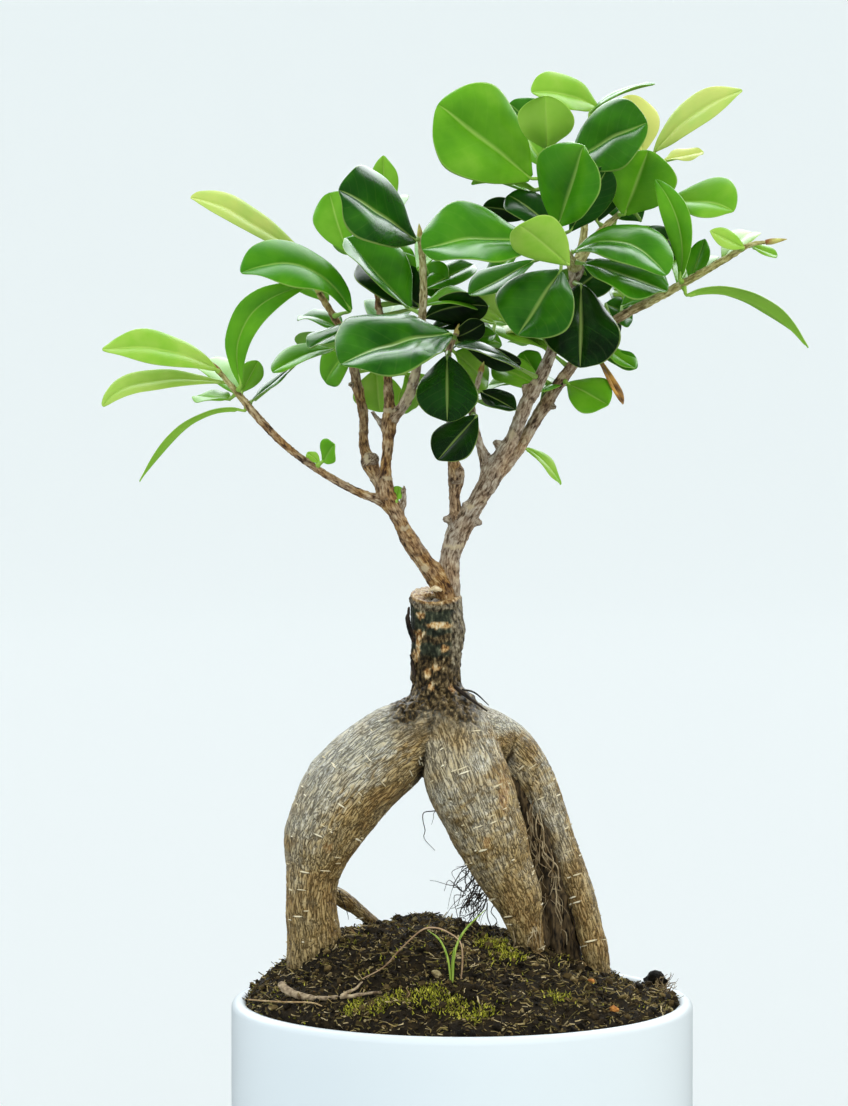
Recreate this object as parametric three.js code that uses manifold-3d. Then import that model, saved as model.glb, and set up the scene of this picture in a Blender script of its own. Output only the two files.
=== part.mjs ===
// A ficus bonsai of the ginseng form in a plain white cylinder pot: swollen roots that stand on the soil
// like legs, a cut stem, a grafted shoot with two limbs, and its leaves.
// Millimetres, +Z up. The origin is the centre of the pot's base. +X is the right-hand side of the plant
// and -Y is its front.
import * as THREE from "three";
import { mergeVertices } from "three/addons/utils/BufferGeometryUtils.js";
import Module from "manifold-3d";

const wasm = await Module();
wasm.setup();

// Driving dimensions.
const POT = { radius: 75, height: 130, wall: 5, floor: 6, rim: 2.5, foot: 3, sides: 48 };
const GAP = 0.3; // between pieces that rest against each other
const SOIL = { edge: 130.3, rise: 24, centre: [-10, 4], power: 1.85, lean: 0.55 };
const SOIL_MESH = { lump: 0.8, rings: 9, sectors: 36 };
const WOOD = { sides: 10, twigSides: 7, step: 7, twigStep: 11 };
const LEAF = { thick: 0.7, stalk: 0.65 };

// Colours.
const COLOUR = {
  pot: 0xf1f5f6,
  soil: 0x2c211a,
  root: 0x9a8d78,
  shoot: 0x8f7a62,
  young: 0xa9c765,
  mid: 0x4f8f22,
  dark: 0x1d5210,
  straw: 0xb39468,
  grass: 0x6fae35,
};

const at = (p) => new THREE.Vector3(p[0], p[1], p[2]);

function material(color, roughness) {
  return new THREE.MeshStandardMaterial({ color, roughness, metalness: 0 });
}

function toSolid(geometry) {
  const bare = geometry.clone();
  bare.deleteAttribute("normal");
  bare.deleteAttribute("uv");
  const merged = mergeVertices(bare, 1e-4);
  return new wasm.Manifold(
    new wasm.Mesh({
      numProp: 3,
      vertProperties: new Float32Array(merged.attributes.position.array),
      triVerts: new Uint32Array(merged.index.array),
    }),
  );
}

function toGeometry(solid) {
  const made = solid.getMesh();
  const places = new Float32Array(made.numVert * 3);
  for (let i = 0; i < made.numVert; i++) {
    for (let k = 0; k < 3; k++) places[3 * i + k] = made.vertProperties[made.numProp * i + k];
  }
  const geometry = new THREE.BufferGeometry();
  geometry.setAttribute("position", new THREE.BufferAttribute(places, 3));
  geometry.setIndex(new THREE.BufferAttribute(new Uint32Array(made.triVerts), 1));
  return geometry;
}

// A closed skin over rings of points that all have the same count, with a pole at each end.
function skin(rings, first, last) {
  const count = rings[0].length;
  const places = [first, ...rings.flat(), last].flatMap((p) => [p.x, p.y, p.z]);
  const end = 1 + rings.length * count;
  const faces = [];
  for (let k = 0; k < count; k++) {
    const next = (k + 1) % count;
    faces.push(0, 1 + next, 1 + k);
    faces.push(end, end - count + k, end - count + next);
    for (let i = 0; i < rings.length - 1; i++) {
      const a = 1 + i * count;
      const b = a + count;
      faces.push(a + k, a + next, b + next, a + k, b + next, b + k);
    }
  }
  const geometry = new THREE.BufferGeometry();
  geometry.setAttribute("position", new THREE.Float32BufferAttribute(places, 3));
  geometry.setIndex(faces);
  return geometry;
}

// Stations along a limb: its rows are [x, y, z, radius], smoothed by one curve through them.
function stations(rows, step) {
  const curve = new THREE.CatmullRomCurve3(rows.map(at), false, "centripetal");
  const radii = new THREE.CatmullRomCurve3(rows.map((p, i) => new THREE.Vector3(i, p[3], 0)));
  const count = Math.max(rows.length - 1, Math.ceil(curve.getLength() / step));
  return Array.from({ length: count + 1 }, (_, i) => ({
    point: curve.getPoint(i / count),
    tangent: curve.getTangent(i / count),
    radius: radii.getPoint(i / count).y,
  }));
}

// A round limb along those stations, grown all over by `extra`.
function limb(rows, { sides = WOOD.sides, step = WOOD.step, extra = 0 } = {}) {
  const along = stations(rows, step);
  let side = new THREE.Vector3(0, 1, 0);
  const rings = along.map(({ point, tangent, radius }) => {
    side = side.clone().addScaledVector(tangent, -side.dot(tangent)).normalize();
    const up = new THREE.Vector3().crossVectors(tangent, side);
    return Array.from({ length: sides }, (_, k) => {
      const turn = (2 * Math.PI * k) / sides;
      return point
        .clone()
        .addScaledVector(side, Math.cos(turn) * (radius + extra))
        .addScaledVector(up, Math.sin(turn) * (radius + extra));
    });
  });
  const first = along[0];
  const last = along[along.length - 1];
  const reach = 0.4;
  return toSolid(
    skin(
      rings,
      first.point.clone().addScaledVector(first.tangent, -extra - reach * first.radius),
      last.point.clone().addScaledVector(last.tangent, extra + reach * last.radius),
    ),
  );
}

// The swollen roots and the old stem, each row [x, y, z, radius].
const LEFT_LEG = [
  [-5, 0, 220, 11],
  [-17, -1, 214.5, 13],
  [-28, -3, 207, 14.3],
  [-38.5, -5, 196.5, 14.2],
  [-45.5, -6, 183.5, 12],
  [-48, -6, 173, 9.4],
  [-49, -6, 162.5, 8.2],
  [-48, -5, 151, 8.7],
  [-47.5, -5, 140, 9.1],
  [-47.5, -4, 129.5, 6.5],
];
const CENTRE_LEG = [
  [-4.5, 0, 220, 11.7],
  [-1.5, -4, 211, 13.3],
  [2, -8, 201, 13.9],
  [7, -10, 189, 12.5],
  [12, -10, 176.5, 10.3],
  [18, -9, 164, 8],
  [20, -9, 156.5, 6],
  [22.3, -8, 147, 4.1],
  [24, -7, 137, 2.2],
];
const RIGHT_LEG = [
  [2.5, 6, 216.5, 9.8],
  [14, 8, 211.5, 8.5],
  [22.5, 8, 201.5, 7.4],
  [28.3, 7, 189.5, 6.2],
  [33.5, 5, 177.5, 5.3],
  [38, 3, 164.5, 4.9],
  [41.3, 0, 153.5, 4.6],
  [43.6, -3, 144, 4.2],
  [45.5, -5, 133, 3.4],
];
const SIDE_ROOT = [
  [-45.5, 0, 166, 2.4],
  [-38, 6, 160.5, 2.3],
  [-32.5, 12, 155.5, 2.2],
  [-28, 18, 150, 2],
  [-24, 24, 143, 1.5],
];
const OLD_STEM = [
  [-8, 1, 214, 12],
  [-8, 1, 221.5, 9.6],
  [-8.5, 1, 230, 8.1],
  [-8.5, 1, 240, 8],
  [-8, 1, 249.5, 8.5],
  [-8.5, 1, 256, 8.2],
  [-9, 1, 266, 7.6],
];
const SHOULDER = { centre: [-2, 3, 214], radii: [20, 12, 11] };
const CUT = { centre: [-10, 1, 261.5], slope: 0.3, size: 30 }; // the sawn top, lower at the front

// The grafted shoot: the trunk with the right limb, the left limb, and the twigs they carry.
const SHOOT = {
  right_limb: [
    [-3.5, 2, 253.5, 2.4],
    [-3.5, 1, 259.5, 2.6],
    [-3.5, 0, 265, 2.8],
    [-4, 0, 270.5, 3.1],
    [-3.5, 0, 275, 3.4],
    [-1.5, 0, 281, 3.6],
    [1.5, -1, 286, 3.1],
    [5, -1, 291.5, 2.9],
    [8.5, -2, 298, 3.1],
    [11.5, -3, 304, 2.8],
    [16, -4, 311.5, 2.3],
    [21, -5, 324, 2.3],
    [25, -5, 331, 2.1],
    [28.5, -5, 339, 1.9],
    [33.5, -4, 353, 1.7],
    [37, -4, 367, 1.5],
  ],
  left_limb: [
    [-5.5, 0, 262.5, 3.4],
    [-8.5, -1, 266.5, 3.5],
    [-12.5, -2, 272.5, 2.9],
    [-17, -3, 279, 2.9],
    [-20.5, -4, 285.5, 2.2],
    [-24.5, -4, 294.5, 2.7],
    [-24.5, -4, 304.5, 1.7],
    [-23.5, -4, 318, 2],
    [-24, 0, 331, 1.4],
    [-25, 4, 344, 1.3],
    [-27.5, 7, 357.5, 1.1],
    [-27.5, 9, 370, 1],
    [-24.5, 12, 383, 0.8],
  ],
  left_fork: [
    [-24, -4, 316.5, 1.5],
    [-18, -6, 324, 1.8],
    [-15, -8, 333.5, 1.6],
    [-13, -12, 350, 1.3],
    [-12.5, -13, 362.5, 1.2],
    [-13.5, -14, 376, 1.1],
  ],
  left_rear: [
    [-25.5, -2, 296, 2.3],
    [-29.5, 2, 303, 2.3],
    [-32, 4, 310, 1.6],
    [-32, 6, 318, 1.6],
    [-33.5, 7, 326.5, 1.6],
    [-38, 8, 344.5, 1.4],
    [-46.5, 4, 359.5, 1],
  ],
  left_outer: [
    [-24.5, -4, 291, 1.5],
    [-36.5, -5, 296, 1.3],
    [-49, -7, 303.5, 1.2],
    [-58.5, -9, 311, 1.2],
    [-66.5, -10, 319.5, 1.3],
    [-71.5, -10, 325.5, 1.1],
    [-78, -10, 333, 0.8],
  ],
  back_limb: [
    [9, 0, 297, 2],
    [14, 4, 303, 2.2],
    [19, 6, 309.5, 2],
    [28, 7, 324.5, 2],
    [36.5, 6, 336.5, 1.8],
    [42.5, 3, 345.5, 1.6],
    [50.5, 0, 351, 1.5],
    [67, -5, 359.5, 1.4],
    [84.5, -8, 369.5, 1.1],
    [92, -8, 374, 0.9],
    [98, -8, 375, 0.5],
  ],
  upright: [
    [-0.5, 0, 281.5, 2],
    [-2, -1, 286, 1.8],
    [-2.5, -1, 292, 1.7],
    [-2, -2, 299, 2.1],
    [-3, -2, 305, 1.7],
    [-3.5, -4, 314.5, 1.5],
    [-4.5, -7, 329, 1.3],
    [-4.5, -8, 339.5, 1.1],
    [-2, -8, 345.5, 0.9],
  ],
  short_side: [
    [9, -1, 300.5, 1.9],
    [6, -3, 309, 1.4],
    [4, -5, 316.5, 1.3],
    [3, -6, 322, 1.2],
    [4.5, -6, 328, 1],
    [6, -4, 333.5, 0.8],
  ],
  top_rear: [
    [37, -4, 366.5, 1.3],
    [39.5, 2, 378, 1.2],
    [40.5, 6, 390, 1],
    [42.5, 8, 402.5, 0.9],
  ],
  top_left: [
    [36.5, -4, 365.5, 1.3],
    [32, 0, 374.5, 1.1],
    [28.5, 2, 388, 1],
    [27.5, 2, 403, 0.8],
  ],
  top_right: [
    [38, -3, 369, 1.3],
    [45, 6, 379.5, 1.1],
    [52.5, 10, 386.5, 1],
    [60.5, 12, 397, 0.9],
  ],
  top_front: [
    [37, -4, 366.5, 1.3],
    [33, -12, 372, 1.2],
    [28.5, -20, 377.5, 1.1],
  ],
  stub: [
    [-21, -4, 287, 1],
    [-19, -4, 291, 1],
    [-19, -4, 296, 0.7],
  ],
};
const THICK_LIMBS = ["right_limb", "left_limb", "back_limb"];

// Each leaf: where its blade starts and ends, its width, which way its upper side looks, and, where it
// needs them, a point that its midrib bends through (via), how far it arches towards its upper side
// (arch), how steeply its halves fold up (fold, degrees), how far it twists to the tip (twist) and how
// much it narrows to the tip (slender, 0 to 1).
const LEAVES = {
  top_big: { base: [22, -3, 396], tip: [-8, -17, 418], width: 29, face: [-0.1, -0.9, 0.3], arch: 2 },
  top_pale: { base: [27, -9, 405], tip: [26, -24, 420], width: 16, face: [0, 0.6, 0.75], arch: -3 },
  top_back: { base: [46, 26, 422], tip: [23, 14, 426], width: 15, face: [0.1, -0.4, 0.9], arch: 2 },
  top_upright: {
    base: [30, -24, 379],
    tip: [38, -36, 403],
    width: 24,
    face: [-0.5, -0.85, 0.1],
    fold: 20,
  },
  top_shade: { base: [35, -4, 379], tip: [47, -8, 399], width: 13, face: [0.6, -0.75, 0.3] },
  top_wide: { base: [34, 4, 401], tip: [59, -12, 413], width: 23, face: [0.1, -0.85, 0.5], arch: 2 },
  top_edge: { base: [24, 3, 393], tip: [3, 5, 395], width: 10, face: [0, 0.1, 1], arch: 2 },
  top_long: {
    base: [63, 8, 406],
    tip: [90, -6, 424],
    via: [75, 1, 417],
    width: 14,
    face: [-0.3, -0.8, 0.5],
    slender: 1,
  },
  top_yellow: {
    base: [60, 18, 407],
    tip: [55, 24, 426],
    width: 14,
    face: [0.2, -0.6, 0.7],
    slender: 0.5,
  },
  top_narrow: {
    base: [42, 14, 419],
    tip: [63, 8, 428],
    width: 9,
    face: [-0.2, -0.3, 0.95],
    arch: 2,
    slender: 1,
  },
  front_long: {
    base: [26, -24, 373],
    tip: [-13, -40, 371],
    via: [6, -34, 374],
    width: 24,
    face: [0, -0.7, 0.7],
  },
  front_turned: { base: [33, -33, 366], tip: [17, -50, 377], width: 15, face: [-0.4, 0.5, 0.75] },
  front_hang: { base: [31, -20, 365], tip: [17, -34, 344], width: 23, face: [-0.2, -0.95, 0.2] },
  front_dark: { base: [38, -12, 361], tip: [37, -26, 334], width: 23, face: [0.1, -0.95, 0.25] },
  right_gloss: {
    base: [36, -10, 372],
    tip: [64, -30, 363],
    via: [51, -22, 374],
    width: 19,
    face: [0, -0.7, 0.7],
  },
  right_under: { base: [39, -10, 368], tip: [65, -20, 359], width: 20, face: [0.2, -0.6, 0.75] },
  right_small: { base: [45, 6, 343], tip: [56, -2, 335], width: 10, face: [0.3, -0.4, 0.85] },
  right_wide: { base: [53, 5, 385], tip: [60, -4, 405], width: 23, face: [0.2, -0.9, 0.35] },
  right_yellow: {
    base: [67, 16, 404],
    tip: [80, 20, 407],
    width: 9,
    face: [-0.1, -0.5, 0.85],
    slender: 1,
  },
  right_folded: {
    base: [66, 6, 389],
    tip: [87, -10, 385],
    via: [77, -3, 388.5],
    width: 18,
    face: [0.1, -0.75, 0.6],
    fold: 15,
  },
  right_tall: {
    base: [70, -9, 363],
    tip: [62, -9, 395],
    via: [69, -14, 380],
    width: 9,
    face: [-0.6, -0.75, 0.2],
    twist: 30,
    slender: 0.6,
  },
  right_sheen: { base: [74, -2, 363], tip: [79, 4, 377], width: 8, face: [-0.3, -0.9, 0.3], slender: 1 },
  bud_leaf: { base: [90, -12, 373], tip: [79, -15, 378], width: 8, face: [0, -0.9, 0.4], slender: 1 },
  right_strap: {
    base: [72, -9, 358],
    tip: [111, -12, 341],
    via: [92, -9, 356.5],
    width: 6,
    face: [0.2, 0.3, 0.95],
    slender: 1,
  },
  limb_bright: { base: [34.5, 3, 330], tip: [47, -6, 323], width: 13, face: [0.1, -0.95, 0.3] },
  limb_curled: {
    base: [21, 12, 309],
    tip: [33, 18, 297],
    width: 5,
    face: [0.5, -0.6, 0.6],
    arch: 2,
    slender: 1,
  },
  dry_leaf: { base: [45, 4, 338], tip: [52, -4, 323], width: 4, face: [0.8, -0.6, 0.2], slender: 1 },
  mid_left: { base: [23, -8, 369], tip: [2, -12, 358], width: 13, face: [-0.2, -0.6, 0.75] },
  mid_dark: { base: [19, -14, 334], tip: [-2, -26, 341], width: 12, face: [0, -0.5, 0.85], arch: 2 },
  mid_pale: { base: [-2, 4, 340], tip: [9, 13, 331], width: 15, face: [0.2, -0.8, 0.5] },
  mid_grey: { base: [24, 12, 333], tip: [9, 30, 330], width: 15, face: [0, -0.6, 0.8] },
  heart_upper: { base: [-5, -18, 338], tip: [-5, -24, 317], width: 18, face: [0, -0.97, 0.25] },
  heart_lower: { base: [4.5, -13, 319], tip: [-8, -20, 305], width: 13, face: [-0.2, -0.95, 0.2] },
  side_dark: { base: [6, -9, 327], tip: [17, -16, 321], width: 10, face: [0.3, -0.85, 0.4], slender: 1 },
  left_long: {
    base: [-49, 2, 369],
    tip: [-87, -12, 389],
    via: [-72, -6, 384],
    width: 13,
    face: [0, -0.75, 0.65],
    slender: 1,
  },
  left_bright: {
    base: [-36, -8, 353],
    tip: [-70, -28, 364],
    via: [-50, -18, 366],
    width: 19,
    face: [0.1, -0.75, 0.65],
  },
  left_arched: {
    base: [-71, -13, 329],
    tip: [-49, -14, 361],
    via: [-69, -12, 350],
    width: 11,
    face: [-0.2, -0.95, 0.2],
    slender: 1,
  },
  left_wide: {
    base: [-79, -12, 334],
    tip: [-114, -26, 340],
    via: [-96, -20, 340],
    width: 15,
    face: [0, -0.8, 0.6],
    slender: 1,
  },
  left_low: {
    base: [-77, -8, 330],
    tip: [-115, -16, 322],
    via: [-102, -13, 330],
    width: 10,
    face: [0, -0.7, 0.7],
    slender: 1,
  },
  left_small: { base: [-75, -3, 325], tip: [-87, 10, 326], width: 9, face: [0, -0.6, 0.8] },
  left_strap: {
    base: [-70, -8, 321],
    tip: [-105, 2, 298],
    via: [-88, -4, 317],
    width: 6,
    face: [-0.3, 0.4, 0.85],
    slender: 1,
  },
  left_edge: { base: [-68, -8, 324], tip: [-53, -2, 337], width: 8, face: [-0.5, -0.3, 0.8], slender: 1 },
  twig_leaf: { base: [-45, -10, 304.5], tip: [-41, -16, 310], width: 8, face: [-0.3, -0.9, 0.3] },
  left_grey: { base: [-42, 0, 341], tip: [-61, -8, 333], width: 14, face: [-0.2, -0.5, 0.85], arch: 2 },
  left_shade: { base: [-31, 0, 350], tip: [-49, -16, 341], width: 12, face: [0, -0.3, 0.95] },
  front_big: { base: [-4, -20, 345], tip: [-38, -44, 334], width: 28, face: [-0.1, -0.8, 0.6], arch: 3 },
  crown_gloss: { base: [-15, -16, 375], tip: [-39, -37, 389], width: 25, face: [0, -0.85, 0.5], arch: 2 },
  crown_back: { base: [-38, 14, 374], tip: [-44, 24, 394], width: 14, face: [-0.4, -0.8, 0.4] },
  crown_tip: {
    base: [-25, 16, 386],
    tip: [-26, 24, 406],
    width: 10,
    face: [0.2, -0.95, 0.1],
    slender: 1,
  },
  crown_cup: { base: [-17, -4, 354], tip: [-38, 2, 377], width: 22, face: [0.5, -0.6, 0.6], fold: 25 },
  centre_left: { base: [-12, -10, 355], tip: [8, 4, 355], width: 12, face: [0.1, -0.5, 0.85], arch: 2 },
  centre_blue: { base: [-12, 6, 361], tip: [4, 18, 370], width: 12, face: [0.1, -0.6, 0.8] },
  rear_low: { base: [-25, 14, 348], tip: [-21, 52, 358], width: 18, face: [0, 0.2, 0.95], arch: 3 },
  rear_crown: { base: [-28, 16, 368], tip: [-38, 52, 376], width: 18, face: [0.1, 0.2, 0.95], arch: 3 },
};
const YOUNG = ["top_pale", "top_back", "top_long", "top_yellow", "right_yellow", "front_turned", "bud_leaf"];
YOUNG.push("limb_curled", "mid_pale", "mid_grey", "left_long", "left_wide", "left_low", "left_strap");
const DARK = ["front_dark", "top_upright", "heart_upper", "heart_lower", "side_dark", "mid_dark"];
DARK.push("crown_cup", "crown_gloss", "top_shade", "front_big", "left_shade", "left_edge");
const DRY = ["dry_leaf"];

const GRASS = [
  [-3.5, -46, 142, 1],
  [-2.5, -46, 152, 0.8],
  [0.5, -46, 158.5, 0.7],
  [6.5, -47, 165, 0.4],
];
const DEAD_TWIG = [
  [-57, -30, 138.5, 0.8],
  [-54, -35, 137, 0.9],
  [-49.5, -40, 136.4, 1],
  [-43, -46, 136.8, 1],
  [-37, -48, 138, 1],
  [-26, -51, 139.8, 0.8],
];

// The pot: one turned profile that starts and ends on the axis.
function pot() {
  const { radius, height, wall, floor, rim, foot } = POT;
  const inner = radius - wall;
  const profile = [
    [0, 0],
    [radius - foot, 0],
    [radius - foot * 0.3, foot * 0.3],
    [radius, foot],
    [radius, height - rim],
  ];
  const turns = 4;
  for (let i = 1; i < turns; i++) {
    const turn = (Math.PI * i) / turns;
    profile.push([radius - wall / 2 + (wall / 2) * Math.cos(turn), height - rim + rim * Math.sin(turn)]);
  }
  profile.push([inner, height - rim], [inner, floor + foot], [inner - foot, floor], [0, floor]);
  return new THREE.LatheGeometry(
    profile.map(([x, y]) => new THREE.Vector2(x, y)),
    POT.sides,
  ).rotateX(Math.PI / 2);
}

// Height of the soil's top at a place in the pot: a dome about its own centre, full on the left and
// falling away straight on the right, with low lumps.
function soilTop(x, y) {
  const middle = new THREE.Vector2(...SOIL.centre);
  const out = new THREE.Vector2(x, y).sub(middle);
  const far = out.length();
  const way = far ? out.clone().divideScalar(far) : new THREE.Vector2(1, 0);
  const inward = -middle.dot(way);
  const wall = inward + Math.sqrt(inward ** 2 + (POT.radius - POT.wall) ** 2 - middle.lengthSq());
  const fall = Math.pow(far / wall, SOIL.power - SOIL.lean * way.x);
  const lumps = Math.sin(x * 0.21 + 1) * Math.cos(y * 0.17) + Math.sin((x + y) * 0.11);
  return SOIL.edge + SOIL.rise * (1 - fall) + SOIL_MESH.lump * lumps;
}

function soilBody() {
  const radius = POT.radius - POT.wall - GAP;
  const low = POT.floor + GAP;
  const circle = (r, height) =>
    Array.from({ length: SOIL_MESH.sectors }, (_, k) => {
      const turn = (2 * Math.PI * k) / SOIL_MESH.sectors;
      const x = r * Math.cos(turn);
      const y = r * Math.sin(turn);
      return new THREE.Vector3(x, y, height ?? soilTop(x, y));
    });
  const rings = [circle(radius - POT.foot, low), circle(radius, low + POT.foot)];
  for (let i = SOIL_MESH.rings; i > 0; i--) rings.push(circle((radius * i) / SOIL_MESH.rings));
  return toSolid(skin(rings, new THREE.Vector3(0, 0, low), new THREE.Vector3(0, 0, soilTop(0, 0))));
}

function shoulder(extra) {
  const ball = new THREE.SphereGeometry(1, 16, 10);
  ball.scale(...SHOULDER.radii.map((r) => r + extra));
  return toSolid(ball.translate(...SHOULDER.centre));
}

// The block of air above the sawn top of the old stem.
function aboveCut() {
  const box = new THREE.BoxGeometry(CUT.size, CUT.size, CUT.size);
  box.translate(0, 0, CUT.size / 2).rotateX(Math.atan(CUT.slope));
  return toSolid(box.translate(...CUT.centre));
}

function rootBody(extra) {
  return [LEFT_LEG, CENTRE_LEG, RIGHT_LEG, SIDE_ROOT, OLD_STEM]
    .map((rows) => limb(rows, { extra }))
    .reduce((whole, part) => whole.add(part), shoulder(extra))
    .subtract(aboveCut());
}

const shootStep = (name) => (THICK_LIMBS.includes(name) ? WOOD.step : WOOD.twigStep);

function shootBody(extra) {
  return Object.entries(SHOOT)
    .map(([name, rows]) =>
      limb(rows, {
        extra,
        sides: THICK_LIMBS.includes(name) ? WOOD.sides : WOOD.twigSides,
        step: shootStep(name),
      }),
    )
    .reduce((whole, part) => whole.add(part));
}

// Points along the shoot's straight facets, between each two of its stations.
function facetPoints([name, rows]) {
  const along = stations(rows, shootStep(name));
  const parts = 5;
  return along.slice(1).flatMap((next, i) =>
    Array.from({ length: parts + 1 }, (_, k) => ({
      point: along[i].point.clone().lerp(next.point, k / parts),
      radius: THREE.MathUtils.lerp(along[i].radius, next.radius, k / parts),
    })),
  );
}

// The place on the shoot's skin, a gap away from it, that is nearest to a leaf's base.
const SHOOT_STATIONS = Object.entries(SHOOT).flatMap(facetPoints);
function seat(base) {
  const nearest = SHOOT_STATIONS.reduce((best, s) => {
    const clear = s.point.distanceTo(base) - s.radius;
    return clear < best.clear ? { clear, s } : best;
  }, { clear: Infinity });
  const out = base.clone().sub(nearest.s.point).normalize();
  return nearest.s.point.clone().addScaledVector(out, nearest.s.radius + GAP);
}

// How far along the blade each section is, and how wide it is there.
const BLADE = [
  [0, 0.1],
  [0.12, 0.4],
  [0.3, 0.76],
  [0.52, 0.98],
  [0.7, 0.97],
  [0.86, 0.7],
  [0.96, 0.34],
];

// How much a fully slender leaf narrows towards its tip.
const SLENDER = 0.45;

function leaf({ base, tip, width, face, via, arch = 0, fold = 10, twist = 0, slender = 0 }) {
  const start = at(base);
  const end = at(tip);
  const upper = at(face).normalize();
  const middle = start.clone().add(end).multiplyScalar(0.5);
  const bend = via ? at(via) : middle.clone().addScaledVector(upper, arch);
  const rib = new THREE.QuadraticBezierCurve3(start, bend.multiplyScalar(2).sub(middle), end);
  const root = seat(start);
  const section = (point, tangent, half, thick, lift, turn) => {
    const side = new THREE.Vector3().crossVectors(tangent, upper).normalize();
    const normal = new THREE.Vector3().crossVectors(side, tangent);
    side.applyAxisAngle(tangent, turn);
    normal.applyAxisAngle(tangent, turn);
    const place = (a, b) => point.clone().addScaledVector(side, a).addScaledVector(normal, b);
    return [
      place(-half, lift - thick / 2),
      place(-half, lift + thick / 2),
      place(0, thick / 2),
      place(half, lift + thick / 2),
      place(half, lift - thick / 2),
      place(0, -thick / 2),
    ];
  };
  const stalk = start.clone().sub(root);
  const along = stalk.clone().normalize();
  const rings = [0.12, 0.85].map((t) =>
    section(root.clone().addScaledVector(stalk, t), along, LEAF.stalk, 2 * LEAF.stalk, 0, 0),
  );
  const steep = Math.tan(THREE.MathUtils.degToRad(fold));
  for (const [t, wide] of BLADE) {
    const half = ((width * wide) / 2) * (1 - SLENDER * slender * t * t);
    const turn = THREE.MathUtils.degToRad(twist) * t;
    rings.push(section(rib.getPoint(t), rib.getTangent(t), half, LEAF.thick, half * steep, turn));
  }
  return skin(rings, root, end);
}

// A thin stem of its own, such as a blade of grass or a dead twig.
const strand = (rows) => toGeometry(limb(rows, { sides: 6, step: 8 }));

const bonsai = new THREE.Group();

function add(name, geometry, color, roughness) {
  const mesh = new THREE.Mesh(geometry, material(color, roughness));
  mesh.name = name;
  bonsai.add(mesh);
}

function leafColour(name) {
  if (YOUNG.includes(name)) return COLOUR.young;
  if (DRY.includes(name)) return COLOUR.straw;
  return DARK.includes(name) ? COLOUR.dark : COLOUR.mid;
}

const dressing = [GRASS, DEAD_TWIG].map((rows) => limb(rows, { sides: 6, step: 8, extra: GAP }));
add("pot", pot(), COLOUR.pot, 0.35);
add(
  "soil",
  toGeometry(dressing.reduce((whole, part) => whole.subtract(part), soilBody().subtract(rootBody(GAP)))),
  COLOUR.soil,
  0.95,
);
add("rootstock", toGeometry(rootBody(0).subtract(shootBody(GAP))), COLOUR.root, 0.7);
add("scion", toGeometry(shootBody(0)), COLOUR.shoot, 0.75);
add("grass_seedling", strand(GRASS), COLOUR.grass, 0.5);
add("dead_twig", strand(DEAD_TWIG), COLOUR.straw, 0.8);
for (const [name, shape] of Object.entries(LEAVES)) {
  add("leaf_" + name, leaf(shape), leafColour(name), 0.3);
}

export default bonsai;
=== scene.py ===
"""A ginseng ficus bonsai in a plain white pot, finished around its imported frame.

The frame is in metres with +Z up. Its origin is the centre of the pot's base, +X is the plant's right-hand
side and -Y is its front. Sizes here are in millimetres unless a name says otherwise, and MM turns them into
metres.
"""

import math
import random

import bmesh
import bpy
import numpy as np
from bpy.props import FloatProperty, FloatVectorProperty, IntProperty, PointerProperty
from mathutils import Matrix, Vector, noise


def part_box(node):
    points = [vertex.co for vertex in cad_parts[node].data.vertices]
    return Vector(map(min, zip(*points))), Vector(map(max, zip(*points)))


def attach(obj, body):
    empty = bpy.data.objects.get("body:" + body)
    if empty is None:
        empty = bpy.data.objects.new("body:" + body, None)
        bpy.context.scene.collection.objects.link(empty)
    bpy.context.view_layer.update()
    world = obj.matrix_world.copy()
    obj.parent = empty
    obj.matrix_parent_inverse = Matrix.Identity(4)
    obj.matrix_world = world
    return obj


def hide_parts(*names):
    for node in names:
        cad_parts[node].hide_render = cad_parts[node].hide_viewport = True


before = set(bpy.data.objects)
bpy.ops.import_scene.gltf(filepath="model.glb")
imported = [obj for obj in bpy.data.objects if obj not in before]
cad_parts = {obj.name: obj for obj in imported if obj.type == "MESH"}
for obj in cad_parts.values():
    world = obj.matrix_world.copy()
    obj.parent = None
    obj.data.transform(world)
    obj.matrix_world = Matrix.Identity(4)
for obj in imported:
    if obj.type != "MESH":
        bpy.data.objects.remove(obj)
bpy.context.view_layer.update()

bl_info = {
    "name": "Ficus Bonsai",
    "version": (1, 0, 0),
    "blender": (4, 5, 0),
    "location": "View3D > Sidebar > Bonsai",
    "description": "Builds a ginseng ficus bonsai with its soil and pot, piece by piece",
    "category": "Add Mesh",
}

MM = 0.001
TURN = 6.28  # about a full turn, in radians
GAP = 0.3  # between solids that rest against each other in the frame
POT_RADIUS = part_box("pot")[1].x / MM
POT_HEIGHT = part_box("pot")[1].z / MM
INNER_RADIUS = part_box("soil")[1].x / MM + GAP
SOIL_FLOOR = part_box("soil")[0].z / MM

# The soil's dome: height at the wall, rise at its middle, where that is, how it falls away and how far it
# has sunk at the back right.
SOIL = {
    "edge": 130.3, "rise": 24, "centre": (-10, 4), "power": 1.85, "lean": 0.55, "lump": 0.8, "dip": 5.5,
}

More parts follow.
